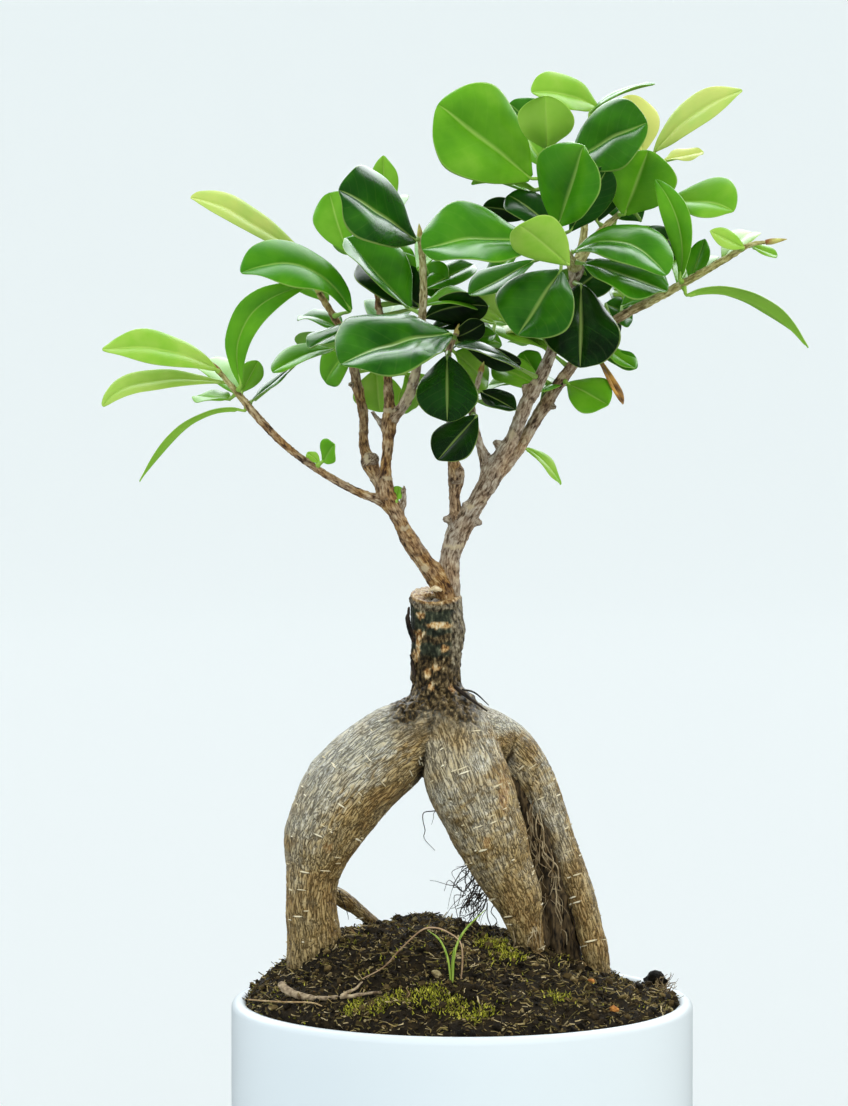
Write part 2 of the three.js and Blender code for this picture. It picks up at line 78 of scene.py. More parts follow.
# Lines of the swollen roots and the cut stem: [x, y, z, radius] at each bend.
ROOT_LINES = {
    "left_leg": [
        [-5, 0, 220, 11], [-17, -1, 214.5, 13], [-28, -3, 207, 14.3], [-38.5, -5, 196.5, 14.2],
        [-45.5, -6, 183.5, 12], [-48, -6, 173, 9.4], [-49, -6, 162.5, 8.2], [-48, -5, 151, 8.7],
        [-47.5, -5, 140, 9.1], [-47.5, -4, 129.5, 6.5],
    ],
    "centre_leg": [
        [-4.5, 0, 220, 11.7], [-1.5, -4, 211, 13.3], [2, -8, 201, 13.9], [7, -10, 189, 12.5],
        [12, -10, 176.5, 10.3], [18, -9, 164, 8], [20, -9, 156.5, 6], [22.3, -8, 147, 4.1],
        [24, -7, 137, 2.2],
    ],
    "right_leg": [
        [2.5, 6, 216.5, 9.8], [14, 8, 211.5, 8.5], [22.5, 8, 201.5, 7.4], [28.3, 7, 189.5, 6.2],
        [33.5, 5, 177.5, 5.3], [38, 3, 164.5, 4.9], [41.3, 0, 153.5, 4.6], [43.6, -3, 144, 4.2],
        [45.5, -5, 133, 3.4],
    ],
    "side_root": [
        [-45.5, 0, 166, 2.4], [-38, 6, 160.5, 2.3], [-32.5, 12, 155.5, 2.2], [-28, 18, 150, 2],
        [-24, 24, 143, 1.5],
    ],
    "shoulder": [[-11, 3, 213, 10.5], [-2, 3, 214, 11.3], [7, 3, 213.5, 10.3]],
    "old_stem": [
        [-8, 1, 214, 12], [-8, 1, 221.5, 9.6], [-8.5, 1, 230, 8.1], [-8.5, 1, 240, 8],
        [-8, 1, 249.5, 8.5], [-8.5, 1, 256, 8.2], [-9, 1, 266, 7.6],
    ],
}
# The sawn top of the old stem: its middle, how much lower it is at the front and how far it reaches.
SAWN = {"centre": (-10, 1, 261.5), "slope": 0.3, "reach": 14}

# Lines of the grafted shoot, in the same form.
SHOOT_LINES = {
    "right_limb": [
        [-3.5, 2, 253.5, 2.4], [-3.5, 1, 259.5, 2.6], [-3.5, 0, 265, 2.8], [-4, 0, 270.5, 3.1],
        [-3.5, 0, 275, 3.4], [-1.5, 0, 281, 3.6], [1.5, -1, 286, 3.1], [5, -1, 291.5, 2.9],
        [8.5, -2, 298, 3.1], [11.5, -3, 304, 2.8], [16, -4, 311.5, 2.3], [21, -5, 324, 2.3],
        [25, -5, 331, 2.1], [28.5, -5, 339, 1.9], [33.5, -4, 353, 1.7], [37, -4, 367, 1.5],
    ],
    "left_limb": [
        [-4.5, 1, 255, 3], [-5.5, 0, 262.5, 3.5], [-8.5, -1, 267, 3.5], [-12.5, -2, 272.5, 2.9],
        [-17, -3, 279, 2.9], [-20.5, -4, 285.5, 2.2], [-24.5, -4, 294.5, 2.7], [-24.5, -4, 304.5, 1.7],
        [-23.5, -4, 318, 2], [-24, 0, 331, 1.4], [-25, 4, 344, 1.3], [-27.5, 7, 357.5, 1.1],
        [-27.5, 9, 370, 1], [-24.5, 12, 383, 0.8],
    ],
    "left_fork": [
        [-24, -4, 316.5, 1.5], [-18, -6, 324, 1.8], [-15, -8, 333.5, 1.6], [-13, -12, 350, 1.3],
        [-12.5, -13, 362.5, 1.2], [-13.5, -14, 376, 1.1],
    ],
    "left_rear": [
        [-25.5, -2, 296, 2.3], [-29.5, 2, 303, 2.3], [-32, 4, 310, 1.6], [-32, 6, 318, 1.6],
        [-33.5, 7, 326.5, 1.6], [-38, 8, 344.5, 1.4], [-46.5, 4, 359.5, 1],
    ],
    "left_outer": [
        [-24.5, -4, 291, 1.5], [-36.5, -5, 296, 1.3], [-49, -7, 303.5, 1.2], [-58.5, -9, 311, 1.2],
        [-66.5, -10, 319.5, 1.3], [-71.5, -10, 325.5, 1.1], [-78, -10, 333, 0.8],
    ],
    "back_limb": [
        [9, 0, 297, 2], [14, 4, 303, 2.2], [19, 6, 309.5, 2], [28, 7, 324.5, 2], [36.5, 6, 336.5, 1.8],
        [42.5, 3, 345.5, 1.6], [50.5, 0, 351, 1.5], [67, -5, 359.5, 1.4], [84.5, -8, 369.5, 1.1],
        [92, -8, 374, 0.9], [98, -8, 375, 0.5],
    ],
    "upright": [
        [-0.5, 0, 281.5, 2], [-2, -1, 286, 1.8], [-2.5, -1, 292, 1.7], [-2, -2, 299, 2.1],
        [-3, -2, 305, 1.7], [-3.5, -4, 314.5, 1.5], [-4.5, -7, 329, 1.3], [-4.5, -8, 339.5, 1.1],
        [-2, -8, 345.5, 0.9],
    ],
    "short_side": [
        [9, -1, 300.5, 1.9], [6, -3, 309, 1.4], [4, -5, 316.5, 1.3], [3, -6, 322, 1.2],
        [4.5, -6, 328, 1], [6, -4, 333.5, 0.8],
    ],
    "top_rear": [[37, -4, 366.5, 1.3], [39.5, 2, 378, 1.2], [40.5, 6, 390, 1], [42.5, 8, 402.5, 0.9]],
    "top_left": [[36.5, -4, 365.5, 1.3], [32, 0, 374.5, 1.1], [28.5, 2, 388, 1], [27.5, 2, 403, 0.8]],
    "top_right": [[38, -3, 369, 1.3], [45, 6, 379.5, 1.1], [52.5, 10, 386.5, 1], [60.5, 12, 397, 0.9]],
    "top_front": [[37, -4, 366.5, 1.3], [33, -12, 372, 1.2], [28.5, -20, 377.5, 1.1]],
    "stub": [[-21, -4, 287, 1], [-19, -4, 291, 1], [-19, -4, 296, 0.7]],
}
# Knobs, spurs and dead side shoots on the shoot, from the wood outwards.
KNOBS = {
    "knob_a": [[-3, -1, 285.6, 1], [-5.4, -2, 285.8, 1]],
    "knob_b": [[3, -1, 285, 1.2], [5.9, -2, 284.6, 0.8]],
    "knob_c": [[3, -2, 291, 0.7], [0.4, -3, 290.4, 0.6]],
    "knob_d": [[13, -3, 309, 1.3], [10.9, -4, 310.6, 1]],
    "knob_e": [[8, -2, 302, 1.2], [7.6, -3, 306.4, 0.9]],
    "knob_f": [[22.5, -5, 327, 1.2], [20, -5, 328.4, 0.9]],
    "knob_g": [[-30.5, 2, 304, 2], [-28.8, 0, 305.6, 1.8]],
    "spur": [[28, 7, 323, 1], [30.8, 6, 322.2, 0.5]],
    "thorn": [[-34, 7, 329, 0.7], [-37, 6, 329.9, 0.4]],
    "side_shoot": [[-24, -4, 314.5, 0.8], [-26.5, -3.5, 317, 0.7], [-29.2, -3, 320.8, 0.6]],
    "bulge": [[-2, -2, 298, 2], [-1.6, -2, 301, 2.1]],
}

# How far along a blade each section is, and how wide it is there.
BLADE = np.array([[0, 0.1], [0.12, 0.4], [0.3, 0.76], [0.52, 0.98], [0.7, 0.97], [0.86, 0.7], [0.96, 0.34]])

# How dark each leaf is painted, from the palest young one at 0 to the darkest at 1: partly its age, and on
# leaves that sit in shadow, painted shade.
LEAF_AGE_AND_SHADE = {
    "top_big": 0.46, "top_pale": 0.3, "top_back": 0.3, "top_upright": 0.615, "top_shade": 0.82,
    "top_wide": 0.7, "top_edge": 0.5, "top_long": 0.1, "top_yellow": 0.02, "top_narrow": 0.62,
    "front_long": 0.62, "front_turned": 0.28, "front_hang": 0.76, "front_dark": 0.97, "right_gloss": 0.62,
    "right_under": 0.66, "right_small": 0.5, "right_wide": 0.5, "right_yellow": 0.06,
    "right_folded": 0.42, "right_tall": 0.55, "right_sheen": 0.62, "bud_leaf": 0.3, "right_strap": 0.32,
    "limb_bright": 0.46, "limb_curled": 0.3, "mid_left": 0.72, "mid_dark": 0.88, "mid_pale": 0.32,
    "mid_grey": 0.42, "heart_upper": 0.9, "heart_lower": 0.96, "side_dark": 0.97, "left_long": 0.12,
    "left_bright": 0.6, "left_arched": 0.52, "left_wide": 0.27, "left_low": 0.2, "left_small": 0.4,
    "left_strap": 0.32, "left_edge": 0.74, "twig_leaf": 0.45, "left_grey": 0.5, "left_shade": 0.72,
    "front_big": 0.76, "crown_gloss": 0.8, "crown_back": 0.44, "crown_tip": 0.4, "crown_cup": 0.66,
    "centre_left": 0.5, "centre_blue": 0.66, "rear_low": 0.6, "rear_crown": 0.55,
}
# OLD_FROM is read on the same scale as the leaves' age, which on shaded leaves also holds painted shade.
OLD_FROM = 0.61  # the age from which a leaf has its full shine

# Smaller leaves: where the blade starts and ends, its width, which way it looks, its age and its arch. On the
# darkest, which fill shadowed gaps, the age also holds painted shade.
SMALL_LEAVES = [
    [(29, -6, 380), (15, 2, 391), 13, (-0.2, -0.5, 0.8), 0.85, 1],
    [(29, 14, 341), (9, 30, 351), 13, (0, -0.4, 0.9), 0.35, 2],
    [(41, 14, 390), (31, 46, 412), 20, (0.1, -0.4, 0.9), 0.6, 4],
    [(50, 16, 380), (68, 48, 370), 19, (0.2, 0.5, 0.9), 0.5, 4],
    [(52, 4, 355), (68, 14, 362), 10, (0, -0.5, 0.8), 0.6, 1],
    [(-39, 12, 348), (-53, 24, 353), 12, (0, -0.4, 0.9), 0.6, 1],
    [(-14, 6, 355), (-21, 10, 373), 10, (0.3, -0.9, 0.2), 0.6, 1],
    [(-37, 12, 342), (-45, 20, 331), 12, (-0.2, -0.9, 0.4), 0.48, 1],
    [(-18, 2, 333), (-14, 12, 323), 14, (0.1, -0.9, 0.3), 0.35, 1],
    [(-10, -4, 347), (8, 8, 350), 12, (0, -0.5, 0.9), 0.95, 1],
    [(-28, 16, 335), (-27, 20, 321), 15, (-0.1, -0.95, 0.2), 0.3, 1],
    [(-15, 8, 363), (-25, 12, 378), 9, (0.5, -0.8, 0.3), 0.55, 1],
    [(-71, -6, 327), (-66, -4, 337), 7, (0.4, -0.8, 0.4), 0.4, 0],
    [(28, 22, 411), (16, 27, 424), 12, (-0.2, -0.8, 0.5), 0.66, 1],
    [(-2, 6, 348), (13, 12, 343), 12, (0.1, -0.6, 0.8), 0.5, 1],
    [(26, 12, 331), (20, 18, 341), 8, (-0.2, -0.8, 0.5), 0.6, 1],
    [(28, 10, 331), (26, 14, 322), 3.5, (0.8, -0.5, 0.2), 0.75, 0],
    [(93, -6, 374), (102, -3, 371), 5, (0.1, -0.7, 0.7), 0.4, 0],
    [(47, 6, 356), (56, 11, 351), 11, (0.3, -0.8, 0.5), 0.72, 1],
    [(46, 4, 351), (52, 12, 344), 10, (0.3, -0.8, 0.4), 0.9, 1],
    [(-22, -5, 291.5), (-20.5, -3, 296.5), 4.5, (0.1, -0.9, 0.4), 0.4, 0],
    [(11, 14, 350), (-4, 18, 354), 7, (0, -0.6, 0.8), 0.25, 1],
    [(-46, -8, 304), (-50, -5, 307.5), 3.5, (0, -0.8, 0.5), 0.35, 0],
    [(-24, 18, 381), (-26, 46, 391), 17, (-0.3, -0.2, 1), 0.5, 3],
    [(38, 4, 368), (28, 38, 349), 19, (-0.2, 0.7, 0.7), 0.7, 4],
    [(28, 8, 400), (14, 36, 417), 18, (-0.2, -0.3, 0.9), 0.45, 4],
    [(52, 6, 353), (59, 40, 361), 16, (0.4, 0.4, 1), 0.6, 3],
    [(-5, 0, 340), (3, 36, 347), 16, (0, 0.2, 1), 0.65, 3],
    [(30, 8, 344), (22, 40, 344), 16, (-0.3, 0.5, 0.9), 0.55, 3],
    [(59, 16, 396), (65, 48, 393), 17, (0.4, 0.3, 0.9), 0.35, 3],
    [(-37, 10, 345), (-50, 38, 341), 17, (-0.3, 0.6, 0.8), 0.6, 3],
    [(-44, 8, 357), (-60, 28, 371), 16, (-0.4, -0.2, 1), 0.45, 3],
    [(-14, -10, 366), (0, 26, 383), 15, (0.1, 0.1, 1), 0.5, 3],
    [(2, -4, 324), (14, 26, 322), 13, (0.2, 0.2, 1), 0.7, 2],
    [(70, -3, 362), (80, 28, 372), 14, (0.2, 0.1, 1), 0.4, 3],
    [(84, -6, 370), (96, 16, 380), 10, (0.2, 0, 1), 0.3, 2],
    [(-72, -7, 326), (-84, 18, 338), 12, (-0.3, 0, 1), 0.4, 2],
    [(24, -3, 327), (34, 26, 330), 12, (0.3, 0.2, 1), 0.6, 2],
    [(28, 4, 381), (17, 8, 392), 9, (-0.3, -0.6, 0.7), 0.95, 1],
    [(23, 8, 385), (7, 12, 388), 8, (0, -0.8, -0.4), 0.95, -1],
    [(22, 10, 393), (5, 14, 398), 5, (0, -0.3, 1), 0.5, 1],
    [(45, 5, 340), (57, 2, 335), 7, (0.2, -0.8, 0.6), 0.66, 1],
    [(29, 14, 351), (11, 30, 349), 12, (0, -0.7, 0.6), 0.04, 1],
    [(0, -2, 343), (19, -6, 336), 8, (0.1, -0.7, -0.6), 1.0, 2],
    [(26, 8, 329), (10, 12, 336), 12, (-0.1, -0.7, 0.7), 0.42, 1],
    [(-14, 3, 355), (-33, 10, 370), 20, (0.2, -0.75, 0.6), 0.97, 2],
    [(-12, -5, 351), (8, -9, 354), 13, (0, -0.7, -0.6), 0.97, -3],
    [(-3, -6, 344), (7, -9, 349), 7, (0.1, -0.9, -0.3), 1.0, 1],
    [(14, 16, 351), (2, 22, 359), 11, (0.1, -0.8, 0.5), 0.25, 1],
    [(-1, 2, 342), (11, 4, 346), 8, (0.1, -0.7, 0.7), 0.55, 1],
    [(-8, 10, 358), (-12, 16, 370), 12, (-0.1, -0.9, 0.4), 0.6, 1],
    [(44, 6, 383), (46, 10, 400), 15, (0.1, -0.9, 0.4), 0.97, 1],
    [(34, 14, 358), (48, 20, 369), 15, (0.1, -0.8, 0.5), 0.9, 1],
    [(59, 12, 370), (71, 18, 380), 14, (0.2, -0.8, 0.5), 0.85, 1],
    [(62, 10, 358), (50, 16, 361), 9, (0, -0.7, 0.6), 0.3, 1],
    [(19, 14, 374), (8, 24, 364), 12, (-0.2, -0.7, 0.6), 0.55, 1],
    [(59, 16, 384), (50, 26, 393), 14, (0, -0.8, 0.5), 0.8, 1],
]

# Thicker roots that fill the cleft between the centre and the right leg.
CLEFT_ROOTS = [
    [
        [25, 8, 199, 1.2], [26, 3, 186, 2], [27.6, -1, 174, 2], [28.4, -2, 162, 2.3],
        [30.5, -3, 151, 2.5], [31, -4, 140, 2],
    ],
    [[26.5, 5, 192, 1.7], [30, 3, 178, 1.6], [31.5, 1, 166, 1.8], [34, 0, 155, 2], [36.5, -2, 141, 1.8]],
    [[22, 4, 188, 1.6], [25, 3, 174, 1.8], [26, 2, 160, 2], [27, 0, 150, 2.2], [26.5, -3, 140, 2]],
    [[30.5, 6, 172, 1.2], [33.5, 4, 160, 1.5], [32, 2, 150, 1.4], [34, 1, 141, 1.3]],
    [
        [14, 5, 205, 1.8], [18.5, 4, 197, 2.4], [21.5, 3, 187, 2.2], [23.5, -1, 174, 1.6],
        [25, -4, 160, 1.5], [27, -5, 148, 1.4],
    ],
    [[33, 5, 166, 1.2], [36, 3, 154, 1.3], [38, 1, 142, 1.3]],
]
# A thin dead root that hangs at the crotch, and two dead stubs on the old stem.
THREAD = [
    [-9.5, -4, 196, 0.22], [-8.1, -5, 191.8, 0.2], [-12.3, -5, 190.9, 0.18], [-12.7, -5, 188.3, 0.16],
    [-12, -5, 185, 0.15], [-12.3, -5, 182.4, 0.13], [-8.8, -5, 178.5, 0.1],
]
THICK_STUB = [[-2.5, -7.6, 232, 0.6], [0.2, -9, 229.8, 0.65], [4, -10.2, 227, 0.45], [8, -11.5, 224.2, 0.25]]
THIN_STUB = [[0, -9, 231, 0.35], [4, -9.5, 230, 0.3], [8.5, -10, 226, 0.15]]
# The pale chip of callus on the rim of the sawn top.
CALLUS = [[-10.8, -3.4, 262.4, 0.6], [-9.6, -3.8, 263.2, 1.1], [-8, -4, 263.4, 1.2], [-6.7, -3.8, 262.8, 0.7]]

# Black flakes of dead bark on the left of the old stem.
BARK_CHIPS = [
    [[-17, -3, 257.2, 0.4], [-17.6, -3.2, 254, 1.2], [-17, -3.4, 250.4, 1.4], [-15.9, -3.6, 246.2, 0.8]],
    [[-16.6, -2.5, 241.6, 0.5], [-16, -3, 238.5, 1.1], [-15, -3.4, 234.6, 0.6]],
]

GRASS_BLADES = [
    [[-3.5, -46, 142, 0.45], [-2.7, -46, 152, 0.55], [0.4, -46, 158.6, 0.5], [6.6, -47, 165, 0.15]],
    [[-4, -46, 142, 0.4], [-4.9, -46, 149.5, 0.45], [-7.4, -46, 155.5, 0.4], [-11.2, -46.5, 158.6, 0.12]],
    [[-3.7, -45.5, 142, 0.4], [-3.6, -45, 149, 0.35], [-3, -44.5, 153, 0.12]],
]
DEAD_BLADE = [
    [-1, -45, 142, 0.4], [-0.4, -45.5, 149, 0.55], [-1.2, -46, 155, 0.45], [-5.8, -46, 158.4, 0.45],
    [-9.9, -46, 159.4, 0.5], [-13.6, -45.5, 158.2, 0.5], [-19.8, -44, 152.2, 0.45],
    [-25, -42, 146.4, 0.4], [-31.6, -41, 142.6, 0.3],
]
STRAW = [[-69, -14, 131.5, 0.25], [-57.4, -36.6, 134.6, 0.3], [-47.7, -46, 136, 0.25], [-44, -50, 135.6, 0.2]]
DEAD_TWIG = [
    [-57.6, -29, 138.9, 1.1], [-55.5, -33, 137.7, 1.35], [-52, -37.5, 136.9, 1.15],
    [-46, -43, 136.8, 0.8], [-37, -48, 138.1, 0.65], [-31, -49.5, 139.3, 0.5], [-25.5, -51, 140, 0.3],
]
TWIG_BRANCH = [[-38, -47.6, 138.3, 0.6], [-34, -45, 140, 0.45], [-31.5, -43.5, 142, 0.2]]
# The black lump at the right of the pot.
LUMP = [[61, 8, 133, 2], [63.5, 7, 134.6, 3.2], [66, 6, 133, 2.2]]
# Orange crumbs of bark on the soil: x, y and size.
BARK_CRUMBS = [(47, -44, 1.4), (40.7, -28, 1), (-47, -38, 0.8)]
# Moss patches on the soil, in the same form.
MOSS = [
    (-12, -53, 9), (-4, -57, 8), (-20, -50, 5), (-33, -52, 6), (-27, -54, 5), (5, -60, 5), (9, -12, 8),
    (14, -22, 7), (30, -44, 5), (-8, 40, 9), (24, 36, 8), (-40, 34, 7), (44, 14, 6),
]


def linear(code):
    """Linear red, green, blue and alpha of an sRGB hex colour."""
    channels = [int(code[i : i + 2], 16) / 255 for i in (1, 3, 5)]
    return [c / 12.92 if c <= 0.04045 else ((c + 0.055) / 1.055) ** 2.4 for c in channels] + [1]


def plug(tree, node, inputs):
    """Fills a node's inputs, each with a value, a socket, or a node, which gives its first output in use."""
    for key, value in inputs.items():
        if isinstance(value, bpy.types.Node):
            value = next(socket for socket in value.outputs if socket.enabled)
        if isinstance(value, bpy.types.NodeSocket):
            tree.links.new(value, node.inputs[key])
        else:
            node.inputs[key].default_value = value


def add_node(tree, kind, inputs=None, stops=(), **settings):
    """Adds a node with its settings, its inputs as plug takes them, and the stops of its colour ramp."""
    node = tree.nodes.new(kind)
    for key, value in settings.items():
        setattr(node, key, value)
    plug(tree, node, inputs or {})
    ramp = node.color_ramp.elements if stops else []
    while len(ramp) < len(stops):
        ramp.new(1)
    for element, (place, code) in zip(ramp, stops):
        element.position = place
        element.color = linear(code)
    return node


def new_material(name):
    """A material with its node tree and its Principled shader."""
    material = bpy.data.materials.new(name)
    material.use_nodes = True
    return material, material.node_tree, material.node_tree.nodes["Principled BSDF"]


def layered(tree, colour, layers):
    """A colour with others laid over it, each through its own mask. A colour may be a hex code."""
    for mask, over in layers:
        under, over = [linear(c) if isinstance(c, str) else c for c in (colour, over)]
        colour = add_node(tree, "ShaderNodeMix", {0: mask, 6: under, 7: over}, data_type="RGBA")
    return colour


def scales(*sizes):
    """Pattern scales that give a grain of these sizes in millimetres."""
    return tuple(1 / (size * MM) for size in sizes)


def skin(rings, first, last):
    """Places and faces of a closed skin over rings of equal count, with a pole at each end."""
    count = len(rings[0])
    places = np.vstack([[first], *rings, [last]])
    end = len(places) - 1
    faces = []
    for k in range(count):
        n = (k + 1) % count
        faces.append((0, 1 + n, 1 + k))
        faces.append((end, end - count + k, end - count + n))
        for a in range(1, end - count, count):
            faces.append((a + k, a + n, a + count + n, a + count + k))
    return places, faces


def level_rings(profile, count):
    """Level rings of count points, one for each radius and height in a profile."""
    turns = 2 * np.pi * np.arange(count) / count
    return [np.stack([r * np.cos(turns), r * np.sin(turns), z + 0 * turns], 1) for r, z in profile]


def joined(shells):
    """Several shells of places and faces as one."""
    places, faces, start = [], [], 0
    for part, its_faces in shells:
        places.append(part)
        faces += [tuple(i + start for i in face) for face in its_faces]
        start += len(part)
    return np.vstack(places), faces


def carried_on(rows):
    """Rows with one more at each end, straight on."""
    return np.vstack([2 * rows[0] - rows[1], rows, 2 * rows[-1] - rows[-2]])


def curve(a, b, c, d, t):
    """The point at a share t of the way from b to c, on a smooth curve that comes from a and goes to d."""
    bent = (2 * a - 5 * b + 4 * c - d) * t**2 + (3 * b - a - 3 * c + d) * t**3
    return 0.5 * (2 * b + (c - a) * t + bent)


def through(rows, step):
    """Points about every step along a smooth line through rows, whatever each row holds after x, y, z."""
    ends = carried_on(np.array(rows, float))
    made = []
    for a, b, c, d in zip(ends, ends[1:], ends[2:], ends[3:]):
        count = max(1, round(np.linalg.norm((c - b)[:3]) / step))
        made += [curve(a, b, c, d, t) for t in np.arange(count) / count]
    return np.array(made + [ends[-2]])


def unit(vectors):
    """Vectors of length 1 along the last axis."""
    return vectors / np.maximum(np.linalg.norm(vectors, axis=-1, keepdims=True), 1e-9)


def directions(line):
    """Tangent, side and up at each point of a line, with as little turning as it allows."""
    tangents = unit(np.gradient(line[:, :3], axis=0))
    side = np.array([0.0, 1, 0]) if abs(tangents[0][1]) < 0.9 else np.array([1.0, 0, 0])
    sides = []
    for tangent in tangents:
        side = unit(side - side.dot(tangent) * tangent)
        sides.append(side)
    sides = np.array(sides)
    return tangents, sides, np.cross(tangents, sides)


def tube(line, sides, flat=1.0):
    """A closed tube along rows of [x, y, z, radius]; flat squeezes its section."""
    reach = 0.4  # how far its ends stand out, as a share of their radius
    tangents, side, up = directions(line)
    turns = 2 * np.pi * np.arange(sides) / sides
    rings = [
        p[:3] + p[3] * (np.outer(np.cos(turns), s) + flat * np.outer(np.sin(turns), u))
        for p, s, u in zip(line, side, up)
    ]
    first = line[0, :3] - tangents[0] * line[0, 3] * reach
    last = line[-1, :3] + tangents[-1] * line[-1, 3] * reach
    return skin(rings, first, last)


def ripple(places, size, seed):
    """Smooth noise, about -1 to 1, at each place. size is its grain, one number or one for each axis."""
    return np.array([noise.noise(p) for p in (places / size + seed).tolist()])


def shaken(places, amount, size, seeds):
    """Places pushed about by noise, which has a seed for each axis."""
    return places + amount * np.stack([ripple(places, size, seed) for seed in seeds], 1)


def fade(values, low, high):
    """0 below low, 1 above high and smooth between."""
    t = np.clip((values - low) / (high - low), 0, 1)
    return t * t * (3 - 2 * t)


def write_attributes(mesh, attributes):
    """Stores numbers or vectors at each vertex under their names."""
    for name, values in attributes.items():
        values = np.asarray(values, np.float32)
        kind, field = ("FLOAT", "value") if values.ndim == 1 else ("FLOAT_VECTOR", "vector")
        mesh.attributes.new(name, kind, "POINT").data.foreach_set(field, values.ravel())


def plain_mesh(name, places, faces, attributes=None, uv=None):
    """A mesh of places in millimetres, smooth and with its faces pointing out."""
    mesh = bpy.data.meshes.new(name)
    mesh.from_pydata((np.asarray(places) * MM).tolist(), [], faces)
    sorter = bmesh.new()
    sorter.from_mesh(mesh)
    bmesh.ops.recalc_face_normals(sorter, faces=sorter.faces)
    sorter.to_mesh(mesh)
    sorter.free()
    mesh.shade_smooth()
    write_attributes(mesh, attributes or {})
    if uv is not None:
        corners = np.empty(len(mesh.loops), np.int32)
        mesh.loops.foreach_get("vertex_index", corners)
        layer = mesh.uv_layers.new(name="UVMap")
        layer.data.foreach_set("uv", np.asarray(uv, np.float32)[corners].ravel())
    return mesh


def finished(name, mesh, material, nodes=()):
    """Puts a mesh into the scene as a finished piece that stands for these nodes."""
    mesh.materials.clear()
    mesh.materials.append(material)
    piece = bpy.data.objects.new(name, mesh)
    bpy.context.scene.collection.objects.link(piece)
    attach(piece, "root")
    if nodes:
        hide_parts(*nodes)


def shell_piece(name, shells, material, nodes=()):
    """Joins closed shells into one mesh and finishes it."""
    finished(name, plain_mesh(name, *joined(shells)), material, nodes)


def settled(mesh, name, set_up):
    """The plain mesh that a modifier makes of a mesh; set_up adds the modifier to its object."""
    carrier = bpy.data.objects.new(name, mesh)
    bpy.context.scene.collection.objects.link(carrier)
    set_up(carrier)
    graph = bpy.context.evaluated_depsgraph_get()
    made = bpy.data.meshes.new_from_object(
        carrier.evaluated_get(graph), preserve_all_data_layers=True, depsgraph=graph
    )
    bpy.data.objects.remove(carrier)
    return made


def mesh_places(mesh):
    """A mesh's vertices in millimetres."""
    places = np.empty(3 * len(mesh.vertices))
    mesh.vertices.foreach_get("co", places)
    return places.reshape(-1, 3) / MM


def mesh_normals(mesh):
    """A mesh's vertex normals."""
    normals = np.empty(3 * len(mesh.vertices))
    mesh.vertex_normals.foreach_get("vector", normals)
    return normals.reshape(-1, 3)


def move_vertices(mesh, places):
    """Puts a mesh's vertices at these places in millimetres."""
    mesh.vertices.foreach_set("co", (places * MM).ravel())
    mesh.update()


def soil_top(x, y):
    """Height of the soil's smooth top at places in the pot."""
    cx, cy = SOIL["centre"]
    dx, dy = x - cx, y - cy
    far = np.maximum(np.hypot(dx, dy), 1e-6)
    inward = -(cx * dx + cy * dy) / far
    wall = inward + np.sqrt(inward**2 + INNER_RADIUS**2 - cx**2 - cy**2)
    fall = (far / wall) ** (SOIL["power"] - SOIL["lean"] * dx / far)
    lumps = np.sin(x * 0.21 + 1) * np.cos(y * 0.17) + np.sin((x + y) * 0.11)
    low = fade(x + 0.5 * y, 40, 58) * fade(y, -8, 16) * fade(np.hypot(x, y), 40, 58)
    return SOIL["edge"] + SOIL["rise"] * (1 - fall) + SOIL["lump"] * lumps - SOIL["dip"] * low


def soil_at(x, y):
    """Height of the soil's smooth top at one place."""
    return float(soil_top(np.array(x), np.array(y)))


# The pot.


def glazed_ceramic(look):
    """Glazed ceramic: slip-cast and dipped in a satin white glaze, which gives a soft broad shine."""
    material, tree, shader = new_material("glazed ceramic")
    place = add_node(tree, "ShaderNodeTexCoord").outputs["Object"]
    clouds = add_node(tree, "ShaderNodeTexNoise", {"Vector": place, "Scale": 1 / (60 * MM), "Detail": 2})
    grain = add_node(tree, "ShaderNodeTexNoise", {"Vector": place, "Scale": 1 / (1.2 * MM), "Detail": 3})
    tint = layered(tree, [*look.glaze, 1], [(clouds, "#d7dfe3")])
    rough = add_node(tree, "ShaderNodeMapRange", {"Value": clouds, "To Min": 0.3, "To Max": 0.42})
    bump = add_node(tree, "ShaderNodeBump", {"Height": grain, "Strength": 0.12, "Distance": 0.05 * MM})
    finish = {"IOR": 1.5, "Specular IOR Level": 0.3, "Coat Weight": 0.1, "Coat Roughness": 0.12}
    plug(tree, shader, {"Base Color": tint, "Roughness": rough, "Normal": bump, **finish})
    return material


def arc(x, z, radius, start, stop, count):
    """Points of an arc in a profile, its angles in degrees."""
    turns = np.radians(np.linspace(start, stop, count))
    return list(zip(x + radius * np.cos(turns), z + radius * np.sin(turns)))


def build_pot(look):
    """Turns the pot: a flat base, a straight wall and a rim rounded all the way over."""
    wall = POT_RADIUS - INNER_RADIUS
    floor, foot = look.floor / MM, look.foot / MM
    profile = [(POT_RADIUS * share, 0) for share in (0.25, 0.5, 0.75, 0.9)]
    profile += arc(POT_RADIUS - foot, foot, foot, -90, 0, 9)
    profile += [(POT_RADIUS, z) for z in np.linspace(foot, POT_HEIGHT - wall / 2, 14)[1:-1]]
    profile += arc(POT_RADIUS - wall / 2, POT_HEIGHT - wall / 2, wall / 2, 0, 180, 17)
    profile += [(INNER_RADIUS, z) for z in np.linspace(POT_HEIGHT - wall / 2, floor + foot, 8)[1:]]
    profile += [(INNER_RADIUS - foot, floor), (INNER_RADIUS / 2, floor)]
    rings = level_rings(profile, look.sides)
    mesh = plain_mesh("pot_glazed", *skin(rings, (0, 0, 0), (0, 0, floor)))
    finished("pot_glazed", mesh, glazed_ceramic(look), ["pot"])


# The soil and what lies in it.


